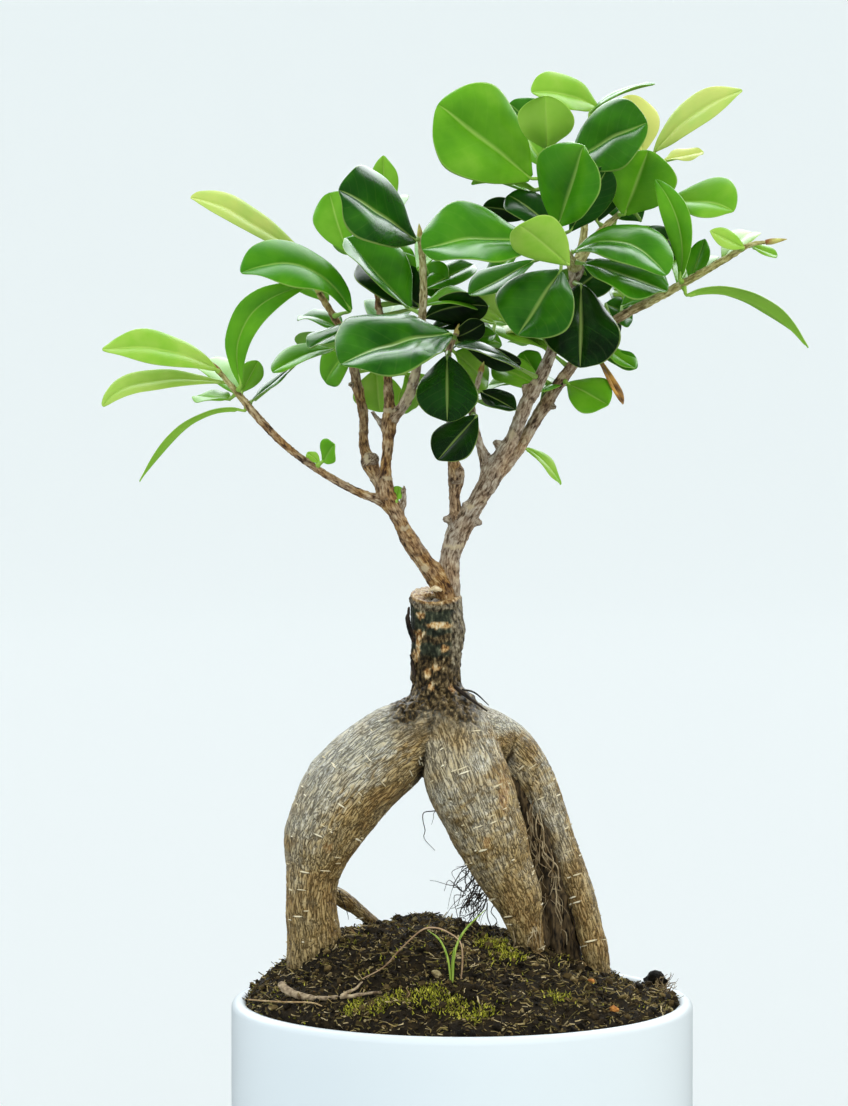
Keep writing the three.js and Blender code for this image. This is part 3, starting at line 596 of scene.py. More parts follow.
def peat():
    """Peat: dug and milled, so it is dark, dull and crumbly, with rusty and pale flecks."""
    material, tree, shader = new_material("peat")
    place = add_node(tree, "ShaderNodeTexCoord").outputs["Object"]
    coarse = add_node(tree, "ShaderNodeTexNoise", {"Vector": place, "Scale": 1 / (3 * MM), "Detail": 5})
    fine = add_node(tree, "ShaderNodeTexNoise", {"Vector": place, "Scale": 1 / (0.8 * MM), "Detail": 3})
    tint = add_node(tree, "ShaderNodeAttribute", attribute_name="tint").outputs["Fac"]
    both = add_node(tree, "ShaderNodeMath", {0: coarse, 1: tint})
    shade = add_node(tree, "ShaderNodeMath", {0: both, 1: 0.5}, operation="MULTIPLY")
    flecks = [
        (0.2, "#0b0906"), (0.4, "#1f1910"), (0.55, "#372d1c"), (0.68, "#554629"), (0.75, "#75633e"),
        (0.79, "#a8996f"),
    ]
    colour = add_node(tree, "ShaderNodeValToRGB", {"Fac": shade}, flecks)
    bump = add_node(tree, "ShaderNodeBump", {"Height": fine, "Strength": 0.8, "Distance": 0.6 * MM})
    plug(tree, shader, {"Base Color": colour, "Normal": bump, "Roughness": 0.95, "Specular IOR Level": 0.2})
    return material


def straw(name, dark, pale, size, tall=1):
    """Dry plant matter: dead stems, roots and bark, dull, with darker and paler stretches.

    size is the length of a stretch, and tall draws the stretches out upwards.
    """
    material, tree, shader = new_material(name)
    place = add_node(tree, "ShaderNodeTexCoord").outputs["Object"]
    drawn = add_node(tree, "ShaderNodeVectorMath", {0: place, 1: (1, 1, 1 / tall)}, operation="MULTIPLY")
    stretches = add_node(tree, "ShaderNodeTexNoise", {"Vector": drawn, "Scale": 1 / (size * MM), "Detail": 4})
    colour = add_node(tree, "ShaderNodeValToRGB", {"Fac": stretches}, [(0.35, dark), (0.65, pale)])
    bump = add_node(tree, "ShaderNodeBump", {"Height": stretches, "Strength": 0.6, "Distance": 0.2 * MM})
    plug(tree, shader, {"Base Color": colour, "Normal": bump, "Roughness": 0.8})
    return material


def tinted(name, stops, roughness):
    """A dull material that takes its colour from the tint of each strewn piece."""
    material, tree, shader = new_material(name)
    tint = add_node(tree, "ShaderNodeAttribute", attribute_name="tint").outputs["Fac"]
    colour = add_node(tree, "ShaderNodeValToRGB", {"Fac": tint}, stops)
    plug(tree, shader, {"Base Color": colour, "Roughness": roughness})
    return material


def any_way(tree, normal):
    """Rotation: any way at all, whatever the ground's normal."""
    turns = {0: (0, 0, 0), 1: (TURN, TURN, TURN)}
    return add_node(tree, "FunctionNodeRandomValue", turns, data_type="FLOAT_VECTOR")


def lying(tree, normal):
    """Rotation: the long axis near level, pointing any way."""
    ways = {0: (-1, -1, -0.25), 1: (1, 1, 0.5)}
    way = add_node(tree, "FunctionNodeRandomValue", ways, data_type="FLOAT_VECTOR")
    return add_node(tree, "FunctionNodeAlignRotationToVector", {"Vector": way}, axis="Z")


def standing(tree, normal):
    """Rotation: out of the ground, leaning a little any way."""
    leans = {0: (-0.8, -0.8, -0.2), 1: (0.8, 0.8, 0.6)}
    lean = add_node(tree, "FunctionNodeRandomValue", leans, data_type="FLOAT_VECTOR")
    way = add_node(tree, "ShaderNodeVectorMath", {0: lean, 1: normal})
    return add_node(tree, "FunctionNodeAlignRotationToVector", {"Vector": way}, axis="Z")


def across_the_root(tree, normal):
    """Rotation: flat on the bark, its long axis across the root."""
    across = add_node(
        tree, "GeometryNodeInputNamedAttribute", {"Name": "across"}, data_type="FLOAT_VECTOR"
    )
    flat = add_node(tree, "FunctionNodeAlignRotationToVector", {"Vector": normal}, axis="Z")
    return add_node(
        tree, "FunctionNodeAlignRotationToVector", {"Rotation": flat, "Vector": across},
        axis="X", pivot_axis="Z",
    )


# Small shapes to strew, each with how it lies: rough balls of twenty and of eighty faces, a thin rod in
# short lengths, which noise can bend, a slim spike and a low bead.
CRUMB = any_way, {"kind": "GeometryNodeMeshIcoSphere", "inputs": {"Radius": 1.0, "Subdivisions": 1}}
CLOD = any_way, {"kind": "GeometryNodeMeshIcoSphere", "inputs": {"Radius": 1.0, "Subdivisions": 2}}
FIBRE = lying, {
    "kind": "GeometryNodeMeshCylinder", "fill_type": "NGON",
    "inputs": {"Vertices": 3, "Side Segments": 3, "Radius": 1.0, "Depth": 1.0},
}
MOSS_SHOOT = standing, {
    "kind": "GeometryNodeMeshCone", "fill_type": "NGON",
    "inputs": {"Vertices": 4, "Side Segments": 2, "Radius Top": 0.1, "Radius Bottom": 1.0, "Depth": 1.0},
}
PORE = across_the_root, {
    "kind": "GeometryNodeMeshUVSphere", "inputs": {"Segments": 6, "Rings": 4, "Radius": 1.0}
}


def scatter_tree(name, kind, cover, stretch, bend):
    """A node tree that strews one small shape over a mesh.

    kind is how the shape lies and the node that makes it, cover names the attribute that thins the points,
    stretch gives the shape's smallest and largest scale along x, y and z, and bend is how far noise pushes
    the strewn shapes about, with the noise's size, in millimetres.
    """
    lie, shape = kind
    tree = bpy.data.node_groups.new(name, "GeometryNodeTree")
    sockets = {
        "Geometry": "Geometry", "Density": "Float", "Size": "Float", "Seed": "Int", "Material": "Material",
    }
    for socket, holds in sockets.items():
        tree.interface.new_socket(socket, in_out="INPUT", socket_type="NodeSocket" + holds)
    tree.interface.new_socket("Geometry", in_out="OUTPUT", socket_type="NodeSocketGeometry")
    given = add_node(tree, "NodeGroupInput").outputs
    seed = given["Seed"]
    thin = add_node(tree, "GeometryNodeInputNamedAttribute", {"Name": cover}, data_type="FLOAT")
    density = add_node(tree, "ShaderNodeMath", {0: given["Density"], 1: thin}, operation="MULTIPLY")
    points = add_node(
        tree, "GeometryNodeDistributePointsOnFaces",
        {"Mesh": given["Geometry"], "Density": density, "Seed": seed},
    )
    limits = {0: stretch[0], 1: stretch[1], "Seed": seed}
    scale = add_node(tree, "FunctionNodeRandomValue", limits, data_type="FLOAT_VECTOR")
    sized = add_node(tree, "ShaderNodeVectorMath", {0: scale, "Scale": given["Size"]}, operation="SCALE")
    turned = lie(tree, points.outputs["Normal"])
    strewn = add_node(
        tree, "GeometryNodeInstanceOnPoints",
        {"Points": points, "Instance": add_node(tree, **shape), "Rotation": turned, "Scale": sized},
    )
    tint = add_node(tree, "FunctionNodeRandomValue", {2: 0.0, 3: 1.0, "Seed": 7}, data_type="FLOAT")
    marked = add_node(
        tree, "GeometryNodeStoreNamedAttribute", {"Geometry": strewn, "Name": "tint", "Value": tint},
        data_type="FLOAT", domain="INSTANCE",
    )
    real = add_node(tree, "GeometryNodeRealizeInstances", {"Geometry": marked})
    where = add_node(tree, "GeometryNodeInputPosition")
    reach, size = bend[0] * MM, bend[1] * MM
    push = add_node(tree, "ShaderNodeTexNoise", {"Vector": where, "Scale": 1 / size, "Detail": 1})
    middle = {0: push.outputs["Color"], 1: (0.5, 0.5, 0.5)}
    centred = add_node(tree, "ShaderNodeVectorMath", middle, operation="SUBTRACT")
    offset = add_node(tree, "ShaderNodeVectorMath", {0: centred, "Scale": reach}, operation="SCALE")
    moved = add_node(tree, "GeometryNodeSetPosition", {"Geometry": real, "Offset": offset})
    dressed = add_node(tree, "GeometryNodeSetMaterial", {"Geometry": moved, "Material": given["Material"]})
    add_node(tree, "NodeGroupOutput", {"Geometry": dressed})
    return tree


def strew(name, ground, slot, tree, **values):
    """Runs a scatter tree over a mesh, its inputs set to these values, and finishes the result."""
    names = {s.name: s.identifier for s in tree.interface.items_tree if s.in_out == "INPUT"}

    def set_up(carrier):
        modifier = carrier.modifiers.new("Strew", "NODES")
        modifier.node_group = tree
        for key, value in values.items():
            modifier[names[key]] = value

    mesh = settled(ground, name, set_up)
    if not mesh.polygons:
        raise RuntimeError(f"{name} came out empty")
    finished(name, mesh, values["Material"])


def soil_mesh(look):
    """The lumpy top of the soil, closed down to the pot's floor, with its moss patches as an attribute."""
    radius = INNER_RADIUS - GAP / 2
    shares = np.linspace(1, 0, look.rings + 1)[:-1]
    top = np.vstack([*level_rings([(radius * share, 0) for share in shares], look.sectors), (0, 0, 0)])
    top[:, 2] = soil_top(top[:, 0], top[:, 1])
    flat = top * [1, 1, 0]
    rough = 1.3 * ripple(flat, 7, 3.1) + 0.9 * ripple(flat, 3, 8.7) + 0.5 * ripple(flat, 1.4, 1.9)
    top[:, 2] += look.roughness * rough
    bevel = 3
    below = [(radius - bevel, SOIL_FLOOR), (radius, SOIL_FLOOR + bevel), (radius, 60), (radius, 110)]
    rings = level_rings(below, look.sectors) + np.split(top[:-1], look.rings)
    places, faces = skin(rings, (0, 0, SOIL_FLOOR), top[-1])
    moss = np.zeros(len(places))
    for x, y, size in MOSS:
        near = np.hypot(places[:, 0] - x, places[:, 1] - y) + 2.5 * ripple(places, 4, x)
        moss = np.maximum(moss, 0.8 * (1 - fade(near, 0.25 * size, 0.95 * size)))
    is_top = np.zeros(len(places))
    is_top[1 + len(below) * look.sectors :] = 1
    thin = 0.02 * fade(ripple(places, 11, 5), -0.1, 0.3)
    attributes = {"moss": np.maximum(moss, thin) * is_top, "open": is_top, "tint": 0.3 + 0 * moss}
    return places, faces, attributes


def build_soil(look):
    """The dome of peat with crumbs, clods, fibres and moss strewn over it, and its litter."""
    places, faces, attributes = soil_mesh(look)
    ground = plain_mesh("soil_peat", places, faces, attributes)
    dark = peat()
    finished("soil_peat", ground, dark, ["soil"])
    # Peat fibre: shredded dry stems and rootlets, dull, from almost black to straw.
    browns = [(0, "#1f180c"), (0.3, "#493c1d"), (0.55, "#6f6430"), (0.8, "#968250"), (1, "#cdba8e")]
    shredded = tinted("peat fibre", browns, 0.85)
    # Moss: tiny soft shoots, yellow-green at the tips and olive below.
    greens = [(0, "#5a5714"), (0.4, "#8a8c20"), (0.75, "#b4b42e"), (1, "#ddd45a")]
    moss = tinted("moss", greens, 0.7)
    crumbs = scatter_tree("Crumbs", CRUMB, "open", [(0.3,) * 3, (1.5,) * 3], (1.2, 0.9))
    clods = scatter_tree("Clods", CLOD, "open", [(0.8,) * 3, (2.4, 2.2, 1.8)], (2.6, 2))
    fibres = scatter_tree("Fibres", FIBRE, "open", [(0.08, 0.08, 1.2), (0.2, 0.2, 6)], (2.6, 2.4))
    shoots = scatter_tree("Moss", MOSS_SHOOT, "moss", [(0.14, 0.14, 0.6), (0.28, 0.28, 1.5)], (0.8, 1))
    for name, slot, tree, density, size, seed, material in (
        ("soil_crumbs", "peat", crumbs, look.crumbs, 0.6, 4, dark),
        ("soil_clods", "peat", clods, look.clods, 0.75, 14, dark),
        ("soil_fibres", "straw", fibres, look.fibres, 1, 9, shredded),
        ("moss", "grass", shoots, look.moss, 1, 2, moss),
    ):
        strew(name, ground, slot, tree, Density=density, Size=size * MM, Seed=seed, Material=material)
    build_litter(dark)


def build_litter(dark):
    """The black lump and the tuft of rootlets at the right of the pot, and the orange crumbs of bark."""
    rng = random.Random(21)
    places, faces = tube(through(LUMP, 0.7), 16)
    shell_piece("soil_lump", [(shaken(places, 0.9, 2, (3, 6, 8)), faces)], dark)
    tuft = []
    for _ in range(46):
        start = (rng.uniform(63, 67), rng.uniform(-4, 8), rng.uniform(130.5, 132.5))
        reach = (rng.uniform(-1, 5.5), rng.uniform(-3, 3), rng.uniform(0, 5.5))
        end = tuple(a + b for a, b in zip(start, reach))
        tuft.append(hair(start, end, 0.9, rng.uniform(0.12, 0.24), rng))
    # Dry rootlets: shrivelled, brown and matt, with pale stretches.
    shell_piece("soil_tuft", tuft, straw("dry rootlet", "#38291a", "#a08a60", 2))
    bits = []
    for x, y, size in BARK_CRUMBS:
        z = soil_at(x, y) + 0.6
        rows = [[x - size, y, z, size * 0.7], [x, y, z, size], [x + size, y, z, size * 0.5]]
        places, faces = tube(np.array(rows), 8)
        bits.append((shaken(places, 0.4 * size, 1.3, (1, 2, 7)), faces))
    # Bark crumbs: broken bark, orange-brown and dull.
    shell_piece("bark_crumbs", bits, straw("bark crumb", "#7a4214", "#c98a40", 1))


# The wood.


def nearest(places, line, reach):
    """How far each place is from a round limb's skin, the nearest point of its line, and how far along.

    Places that are further than reach from the limb count as very far.
    """
    very_far, batch = 99.0, 8000
    gaps = np.full(len(places), very_far)
    points = np.zeros((len(places), 3))
    runs = np.zeros(len(places))
    low = line[:, :3].min(0) - line[:, 3].max() - reach
    high = line[:, :3].max(0) + line[:, 3].max() + reach
    inside = np.flatnonzero(((places > low) & (places < high)).all(1))
    start, span = line[:-1], line[1:] - line[:-1]
    lengths = np.linalg.norm(span[:, :3], axis=1)
    steps = distances(line)
    for part in np.array_split(inside, max(1, len(inside) // batch)):
        away = places[part][:, None] - start[None, :, :3]
        along = np.clip((away * span[:, :3]).sum(2) / lengths**2, 0, 1)
        off = away - along[..., None] * span[:, :3]
        clear = np.linalg.norm(off, axis=2) - start[:, 3] - along * span[:, 3]
        best = clear.argmin(1)
        rows = np.arange(len(part))
        gaps[part] = clear[rows, best]
        points[part] = places[part] - off[rows, best]
        runs[part] = steps[best] + along[rows, best] * lengths[best]
    return gaps, points, runs


def distances(line):
    """How far along a line each of its points is."""
    return np.concatenate([[0], np.cumsum(np.linalg.norm(np.diff(line[:, :3], axis=0), axis=1))])


def wood_skin(name, lines, voxel, blend, sawn=None):
    """One skin over round limbs grown together.

    It gives the mesh and its places, and for each vertex its limb, how far along each limb it is and how
    near a cleft. voxel is the size of its faces, blend how softly the limbs run into each other, and sawn
    cuts it off.
    """
    places, faces = joined([tube(line, 12) for line in lines])

    def set_up(carrier):
        remesh = carrier.modifiers.new("Merge", "REMESH")
        remesh.mode = "VOXEL"
        remesh.voxel_size = voxel * MM

    mesh = settled(plain_mesh(name, places, faces), name, set_up)
    mesh.shade_smooth()
    reach, stride = 6, 2  # how far off a limb counts, and how far one pass moves the skin
    places = mesh_places(mesh)
    edges = np.empty(2 * len(mesh.edges), np.int32)
    mesh.edges.foreach_get("vertices", edges)
    edges = edges.reshape(-1, 2)
    for _ in range(3):
        places = relaxed(places, edges, 2)
        found = [nearest(places, line, reach) for line in lines]
        gaps = np.array([gap for gap, _, _ in found])
        shares = np.exp(-np.clip(gaps - gaps.min(0), 0, 60) / blend)
        total = gaps.min(0) - blend * np.log(shares.sum(0))
        ways = np.array([unit(places - points) for _, points, _ in found])
        way = unit((shares[..., None] * ways).sum(0))
        places = places - np.clip(total, -stride, stride)[:, None] * way
    if sawn:
        places = cut_off(places, sawn)
    move_vertices(mesh, places)
    two = np.sort(gaps, axis=0)[:2]
    cleft_width = 1.1
    cleft = np.exp(-(((two[1] - two[0]) / cleft_width) ** 2))
    return mesh, places, gaps.argmin(0), [runs for _, _, runs in found], cleft


def relaxed(places, edges, rounds):
    """Evens out the vertices along their edges."""
    count = len(places)
    number = np.bincount(edges.ravel(), minlength=count)
    for _ in range(rounds):
        total = np.zeros_like(places)
        for axis in range(3):
            total[:, axis] = np.bincount(edges[:, 0], places[edges[:, 1], axis], count)
            total[:, axis] += np.bincount(edges[:, 1], places[edges[:, 0], axis], count)
        places = places + 0.5 * (total / number[:, None] - places)
    return places


def cut_off(places, sawn):
    """Presses what stands above a sloping saw cut down onto it, drawing its rim in a little."""
    centre = np.array(sawn["centre"])
    top = centre[2] + sawn["slope"] * (places[:, 1] - centre[1])
    over = places[:, 2] - top
    pressed = places.copy()
    near = (over > 0) & (np.hypot(*(places - centre)[:, :2].T) < sawn["reach"])
    pressed[near, 2] = top[near]
    inward = fade(over[near], 0, 4)[:, None]
    pressed[near, :2] = centre[:2] + (places[near, :2] - centre[:2]) * (1 - 0.9 * inward)
    return pressed


def grain_places(places, lines, limb, found):
    """Where each vertex is in its limb's own straight frame, and the direction round the limb there.

    Each limb's frame is moved along, so that no two limbs carry the same pattern.
    """
    shift = 40
    grain = np.zeros_like(places)
    across = np.zeros_like(places)
    for number, (line, runs) in enumerate(zip(lines, found)):
        mine = limb == number
        tangents, sides, ups = directions(line)
        steps = distances(line)
        run = runs[mine]
        # A few steps bring each vertex to where the line passes it squarely.
        for _ in range(4):
            tangent = unit(part_way(tangents, steps, run))
            off = places[mine] - part_way(line[:, :3], steps, run)
            run = run + 0.6 * (off * tangent).sum(1)
        side, up = part_way(sides, steps, run), part_way(ups, steps, run)
        grain[mine] = np.stack([(off * side).sum(1), (off * up).sum(1), run + shift * number], 1)
        across[mine] = np.cross(tangent, off)
    return grain, unit(across)


def part_way(rows, steps, runs):
    """Values at distances along a line, between the rows that it holds at each step."""
    return np.stack([np.interp(runs, steps, row) for row in rows.T], 1)


# Cream and orange scars on the old stem: where, and how far they reach along x, y and z.
OLD_SCARS = [
    ((-7.5, -7, 251.5), (4.4, 5, 1)), ((-13.5, -6, 254.8), (1.3, 4, 1.2)), ((-14, -5, 248.6), (1.9, 4, 1.6)),
    ((-14.3, -5, 244.5), (0.7, 4, 4)), ((-5.5, -7, 244.2), (1.3, 4, 1.4)), ((-8.5, -7.5, 238), (1.6, 4, 1.2)),
    ((-11.4, -7, 236), (1.1, 4, 2)), ((-10, -8, 232), (0.9, 4, 1.7)), ((-15.5, -3, 241), (1, 4, 2.6)),
    ((-3, -6, 231), (1.4, 4, 1.2)), ((-8, 9, 250), (3, 4, 1.3)), ((-12, 8, 238), (1.4, 4, 3)),
    ((-2, 7, 243), (1.6, 4, 2)), ((-9, 9.5, 231), (1.2, 4, 2)),
]
# Healed scars on the legs, in the same form.
LEG_SCARS = [
    ((13.2, -17.5, 198.5), (1.9, 6, 7.5)), ((7.5, -21, 183), (1.3, 5, 2)), ((-43, -17, 181), (1.6, 5, 2.2)),
]
# The hollow knot in the front of the old stem, in the same form.
HOLLOW = (-10.5, -8, 238.5), (1.7, 5, 5.5)
# Pale rings and spots on the shoot.
SHOOT_SCARS = [
    ((-2.5, -2, 277), (4.5, 4, 1)), ((-23, -4, 299), (3, 4, 0.9)), ((-24, -4, 321), (3, 4, 0.8)),
    ((-12, -4, 270), (1.6, 2.5, 1)), ((-18.5, -5, 283), (1.8, 2.5, 1)), ((16, -6, 313.5), (1.6, 2, 1.6)),
    ((20.5, 4, 311), (1, 2, 1)), ((8, -5, 291), (1.3, 2, 1.6)), ((2.5, -4, 290), (1.4, 2, 0.9)),
    ((23, -7, 330), (1.4, 2, 1)), ((33, 4, 332), (1, 2, 1.2)), ((-17.5, -7, 327), (2, 2, 4)),
    ((-16, -9, 335), (2, 2, 5)), ((-31, 0, 305.5), (1.2, 2, 1.8)), ((-11, 2, 271), (1.6, 2.5, 1)),
    ((6, 3, 294), (1.6, 2.5, 1)), ((-24, 0, 300), (3, 3, 0.9)), ((12, 1, 305), (2, 2, 1)),
]


def spots(places, scars, ragged):
    """How much each place lies in one of the scars, with ragged edges."""
    made = np.zeros(len(places))
    wobble = ragged * ripple(places, 1.1, 4.4)
    for centre, reach in scars:
        far = np.linalg.norm((places - centre) / reach, axis=1) + wobble
        made = np.maximum(made, 1 - fade(far, 0.7, 1.15))
    return made


def creases(values, width):
    """1 where noise crosses zero, which draws thin wavy lines."""
    return np.exp(-((values / width) ** 2))


# Colours of the root bark, ramps over noise: grey and tan live skin, then flakes of the old stem from the
# gaps between them to their tops, the dark green bands, the shoot's pale base and the scars.
ROOT_RAMPS = {
    "grey": [(0.58, "#98937f"), (0.7, "#b0ad9b"), (0.8, "#c3c2b7"), (0.92, "#d5d5ce")],
    "tan": [(0.58, "#6a4f1e"), (0.7, "#8c713b"), (0.8, "#a88d55"), (0.92, "#c4aa73")],
    "brown": [(0.37, "#0e0a06"), (0.46, "#31260f"), (0.54, "#574526"), (0.62, "#7f6c47"), (0.7, "#b3a27c")],
    "green": [(0.36, "#14190f"), (0.48, "#272d1e"), (0.58, "#3a3f2c"), (0.68, "#62644b")],
    "scale": [(0.38, "#211a10"), (0.47, "#5a4e37"), (0.57, "#867b62"), (0.67, "#aca28b")],
    "cream": [(0.37, "#5e3a14"), (0.45, "#9a6d36"), (0.53, "#c7a36a"), (0.64, "#e0cda6")],
}
# Colours of the shoot's bark: grey and warm brown skin, and green at the tips.
SHOOT_RAMPS = {
    "grey": [(0.58, "#3d2f22"), (0.67, "#735f4a"), (0.75, "#928370"), (0.84, "#a89c8a"), (0.94, "#bfb5a4")],
    "brown": [(0.58, "#341e0d"), (0.67, "#634220"), (0.76, "#8d6635"), (0.86, "#a88653"), (0.95, "#bfa577")],
    "green": [(0.6, "#7a7338"), (0.75, "#a8a35c"), (0.9, "#c9c68a")],
}


def stored(tree, names):
    """The sockets of the numbers that a mesh keeps at its vertices under these names."""
    return [add_node(tree, "ShaderNodeAttribute", attribute_name=name).outputs["Fac"] for name in names]


def thin_lines(tree, fields, widths):
    """Thin lines of two noise fields together, 1 where a field passes through its middle value."""
    lines = []
    for field, width in zip(fields, widths):
        centred = add_node(tree, "ShaderNodeMath", {0: field, 1: 0.5}, operation="SUBTRACT")
        size = add_node(tree, "ShaderNodeMath", {0: centred}, operation="ABSOLUTE")
        fall = {"Value": size, "From Max": width, "To Min": 1, "To Max": 0}
        lines.append(add_node(tree, "ShaderNodeMapRange", fall))
    return add_node(tree, "ShaderNodeMath", {0: lines[0], 1: lines[1]}, operation="MAXIMUM")


def root_bark():
    """Ficus root bark: smooth grey skin stretched over a swollen root, so it wrinkles into fine wavy lines.

    The feet are rusty where damp soil stains them. The old stem is corky, black-green and flaking to cream.
    Painted shade darkens its cracks, clefts and hollow knot and tans the faces turned from the light, and
    the pale crests and dark crack lines also paint the light on the ridges and the shade in the cracks.
    """
    material, tree, shader = new_material("ficus root bark")
    place = add_node(tree, "ShaderNodeTexCoord").outputs["Object"]
    old, painted_shade, scar, foot, band, flake = stored(tree, ("old", "painted_shade", "scar", "foot", "band", "flake"))
    grain = add_node(tree, "ShaderNodeAttribute", attribute_name="grain").outputs["Vector"]
    wrinkle = {0: grain, 1: scales(1.05, 1.05, 5.5)}
    drawn = add_node(tree, "ShaderNodeVectorMath", wrinkle, operation="MULTIPLY")
    waves = {"Vector": drawn, "Scale": 1, "Detail": 1.2, "Roughness": 0.45, "Distortion": 0.5}
    wave = add_node(tree, "ShaderNodeTexNoise", waves).outputs["Color"]
    fields = add_node(tree, "ShaderNodeSeparateColor", {0: wave}).outputs
    line = thin_lines(tree, fields[:2], [0.05, 0.032])
    low = thin_lines(tree, fields[:2], [0.16, 0.16])
    ridge = add_node(tree, "ShaderNodeMath", {0: 1.0, 1: low}, operation="SUBTRACT")
    blotch = add_node(tree, "ShaderNodeTexNoise", {"Vector": place, "Scale": 1 / (10 * MM), "Detail": 4})
    gritty = {"Vector": place, "Scale": 1 / (0.6 * MM), "Detail": 3, "Roughness": 0.6}
    grit = add_node(tree, "ShaderNodeTexNoise", gritty)
    tone = add_node(tree, "ShaderNodeMath", {0: fields[2], 1: 0.5, 2: grit}, operation="MULTIPLY_ADD")
    tall = add_node(tree, "ShaderNodeVectorMath", {0: place, 1: scales(1.15, 1.15, 2)}, operation="MULTIPLY")
    flaky = {"Vector": tall, "Scale": 1, "Detail": 6, "Roughness": 0.62}
    flakes = add_node(tree, "ShaderNodeTexNoise", flaky)
    skins = {}
    for name, stops in ROOT_RAMPS.items():
        field = tone if name in ("grey", "tan") else flakes
        skins[name] = add_node(tree, "ShaderNodeValToRGB", {"Fac": field}, stops)
    spread = add_node(
        tree, "ShaderNodeMapRange", {"Value": blotch, "From Min": 0.46, "From Max": 0.7, "To Max": 0.7}
    )
    rust = add_node(
        tree, "ShaderNodeMapRange", {"Value": blotch, "From Min": 0.46, "From Max": 0.64, "To Max": 0.75}
    )
    # foot holds the rust at the feet and, on faces turned from the light, tan as painted shade.
    warm = add_node(tree, "ShaderNodeMath", {0: foot, 1: spread}, operation="ADD", use_clamp=True)
    rusty = add_node(tree, "ShaderNodeMath", {0: foot, 1: rust}, operation="MULTIPLY")
    # The pale crests and dark crack lines are the bark's wrinkle pattern, and they also paint the highlight
    # on the ridges and the shade in the cracks.
    raised = add_node(tree, "ShaderNodeMath", {0: ridge, 1: 0.68}, operation="MULTIPLY")
    lined = add_node(tree, "ShaderNodeMath", {0: line, 1: 0.85}, operation="MULTIPLY")
    crest = layered(tree, "#d8cba6", [(foot, "#c2a972")])
    crack = layered(tree, "#5c543f", [(foot, "#3f3011")])
    rusted = layered(tree, skins["grey"], [(warm, skins["tan"]), (rusty, "#8f6426")])
    # The dark laid over the live skin is painted shade in the cracks, clefts and hollow knot, and darker just
    # above the soil.
    live = layered(tree, rusted, [(raised, crest), (lined, crack), (painted_shade, "#2a2010")])
    stem = layered(tree, skins["brown"], [(band, skins["green"]), (flake, skins["scale"])])
    colour = layered(tree, live, [(old, stem), (scar, skins["cream"])])
    root_high = add_node(tree, "ShaderNodeMath", {0: line, 1: -1.2, 2: ridge}, operation="MULTIPLY_ADD")
    stem_high = add_node(tree, "ShaderNodeMath", {0: flakes, 1: 3.0}, operation="MULTIPLY")
    high = add_node(tree, "ShaderNodeMix", {0: old, 2: root_high, 3: stem_high}, data_type="FLOAT")
    bump = add_node(tree, "ShaderNodeBump", {"Height": high, "Strength": 0.9, "Distance": 0.28 * MM})
    plug(tree, shader, {"Base Color": colour, "Normal": bump, "Roughness": 0.5, "Specular IOR Level": 0.5})
    return material


def old_stem_masks(places, stem):
    """Where the old stem is sawn, banded dark green, scarred and covered by the shoot's flaking base."""
    # depth is how far below the saw cut each place lies.
    depth = SAWN["centre"][2] + SAWN["slope"] * (places[:, 1] - SAWN["centre"][1]) - places[:, 2]
    wobbly = depth + 1.1 * ripple(places, 2.6, 1)
    sawn = (1 - fade(depth, 0.2, 1.2)) * stem
    upper = fade(wobbly, 2.6, 3.2) * (1 - fade(wobbly, 10.5, 11.2))
    lower = fade(wobbly, 13, 13.7) * (1 - fade(wobbly, 17, 18.5))
    band = np.maximum(upper, lower) * (1 - fade(places[:, 0] + ripple(places, 3, 6), -3.5, -2))
    flake = fade(places[:, 0] + 1.6 * ripple(places, 2.2, 3), -4.2, -2.8) * (1 - fade(wobbly, 19, 26))
    flake = np.maximum(flake, (1 - fade(wobbly, 2.3, 3)) * fade(depth, 0.6, 1.4))
    scar = spots(places, OLD_SCARS, 0.7) * (1 - 0.6 * flake)
    scar = np.maximum(scar, sawn * (0.6 + 0.4 * fade(ripple(places, 1.3, 3), -0.2, 0.4)))
    scar = np.maximum(scar * stem, 0.7 * spots(places, LEG_SCARS, 0.5))
    return sawn, band, flake, scar


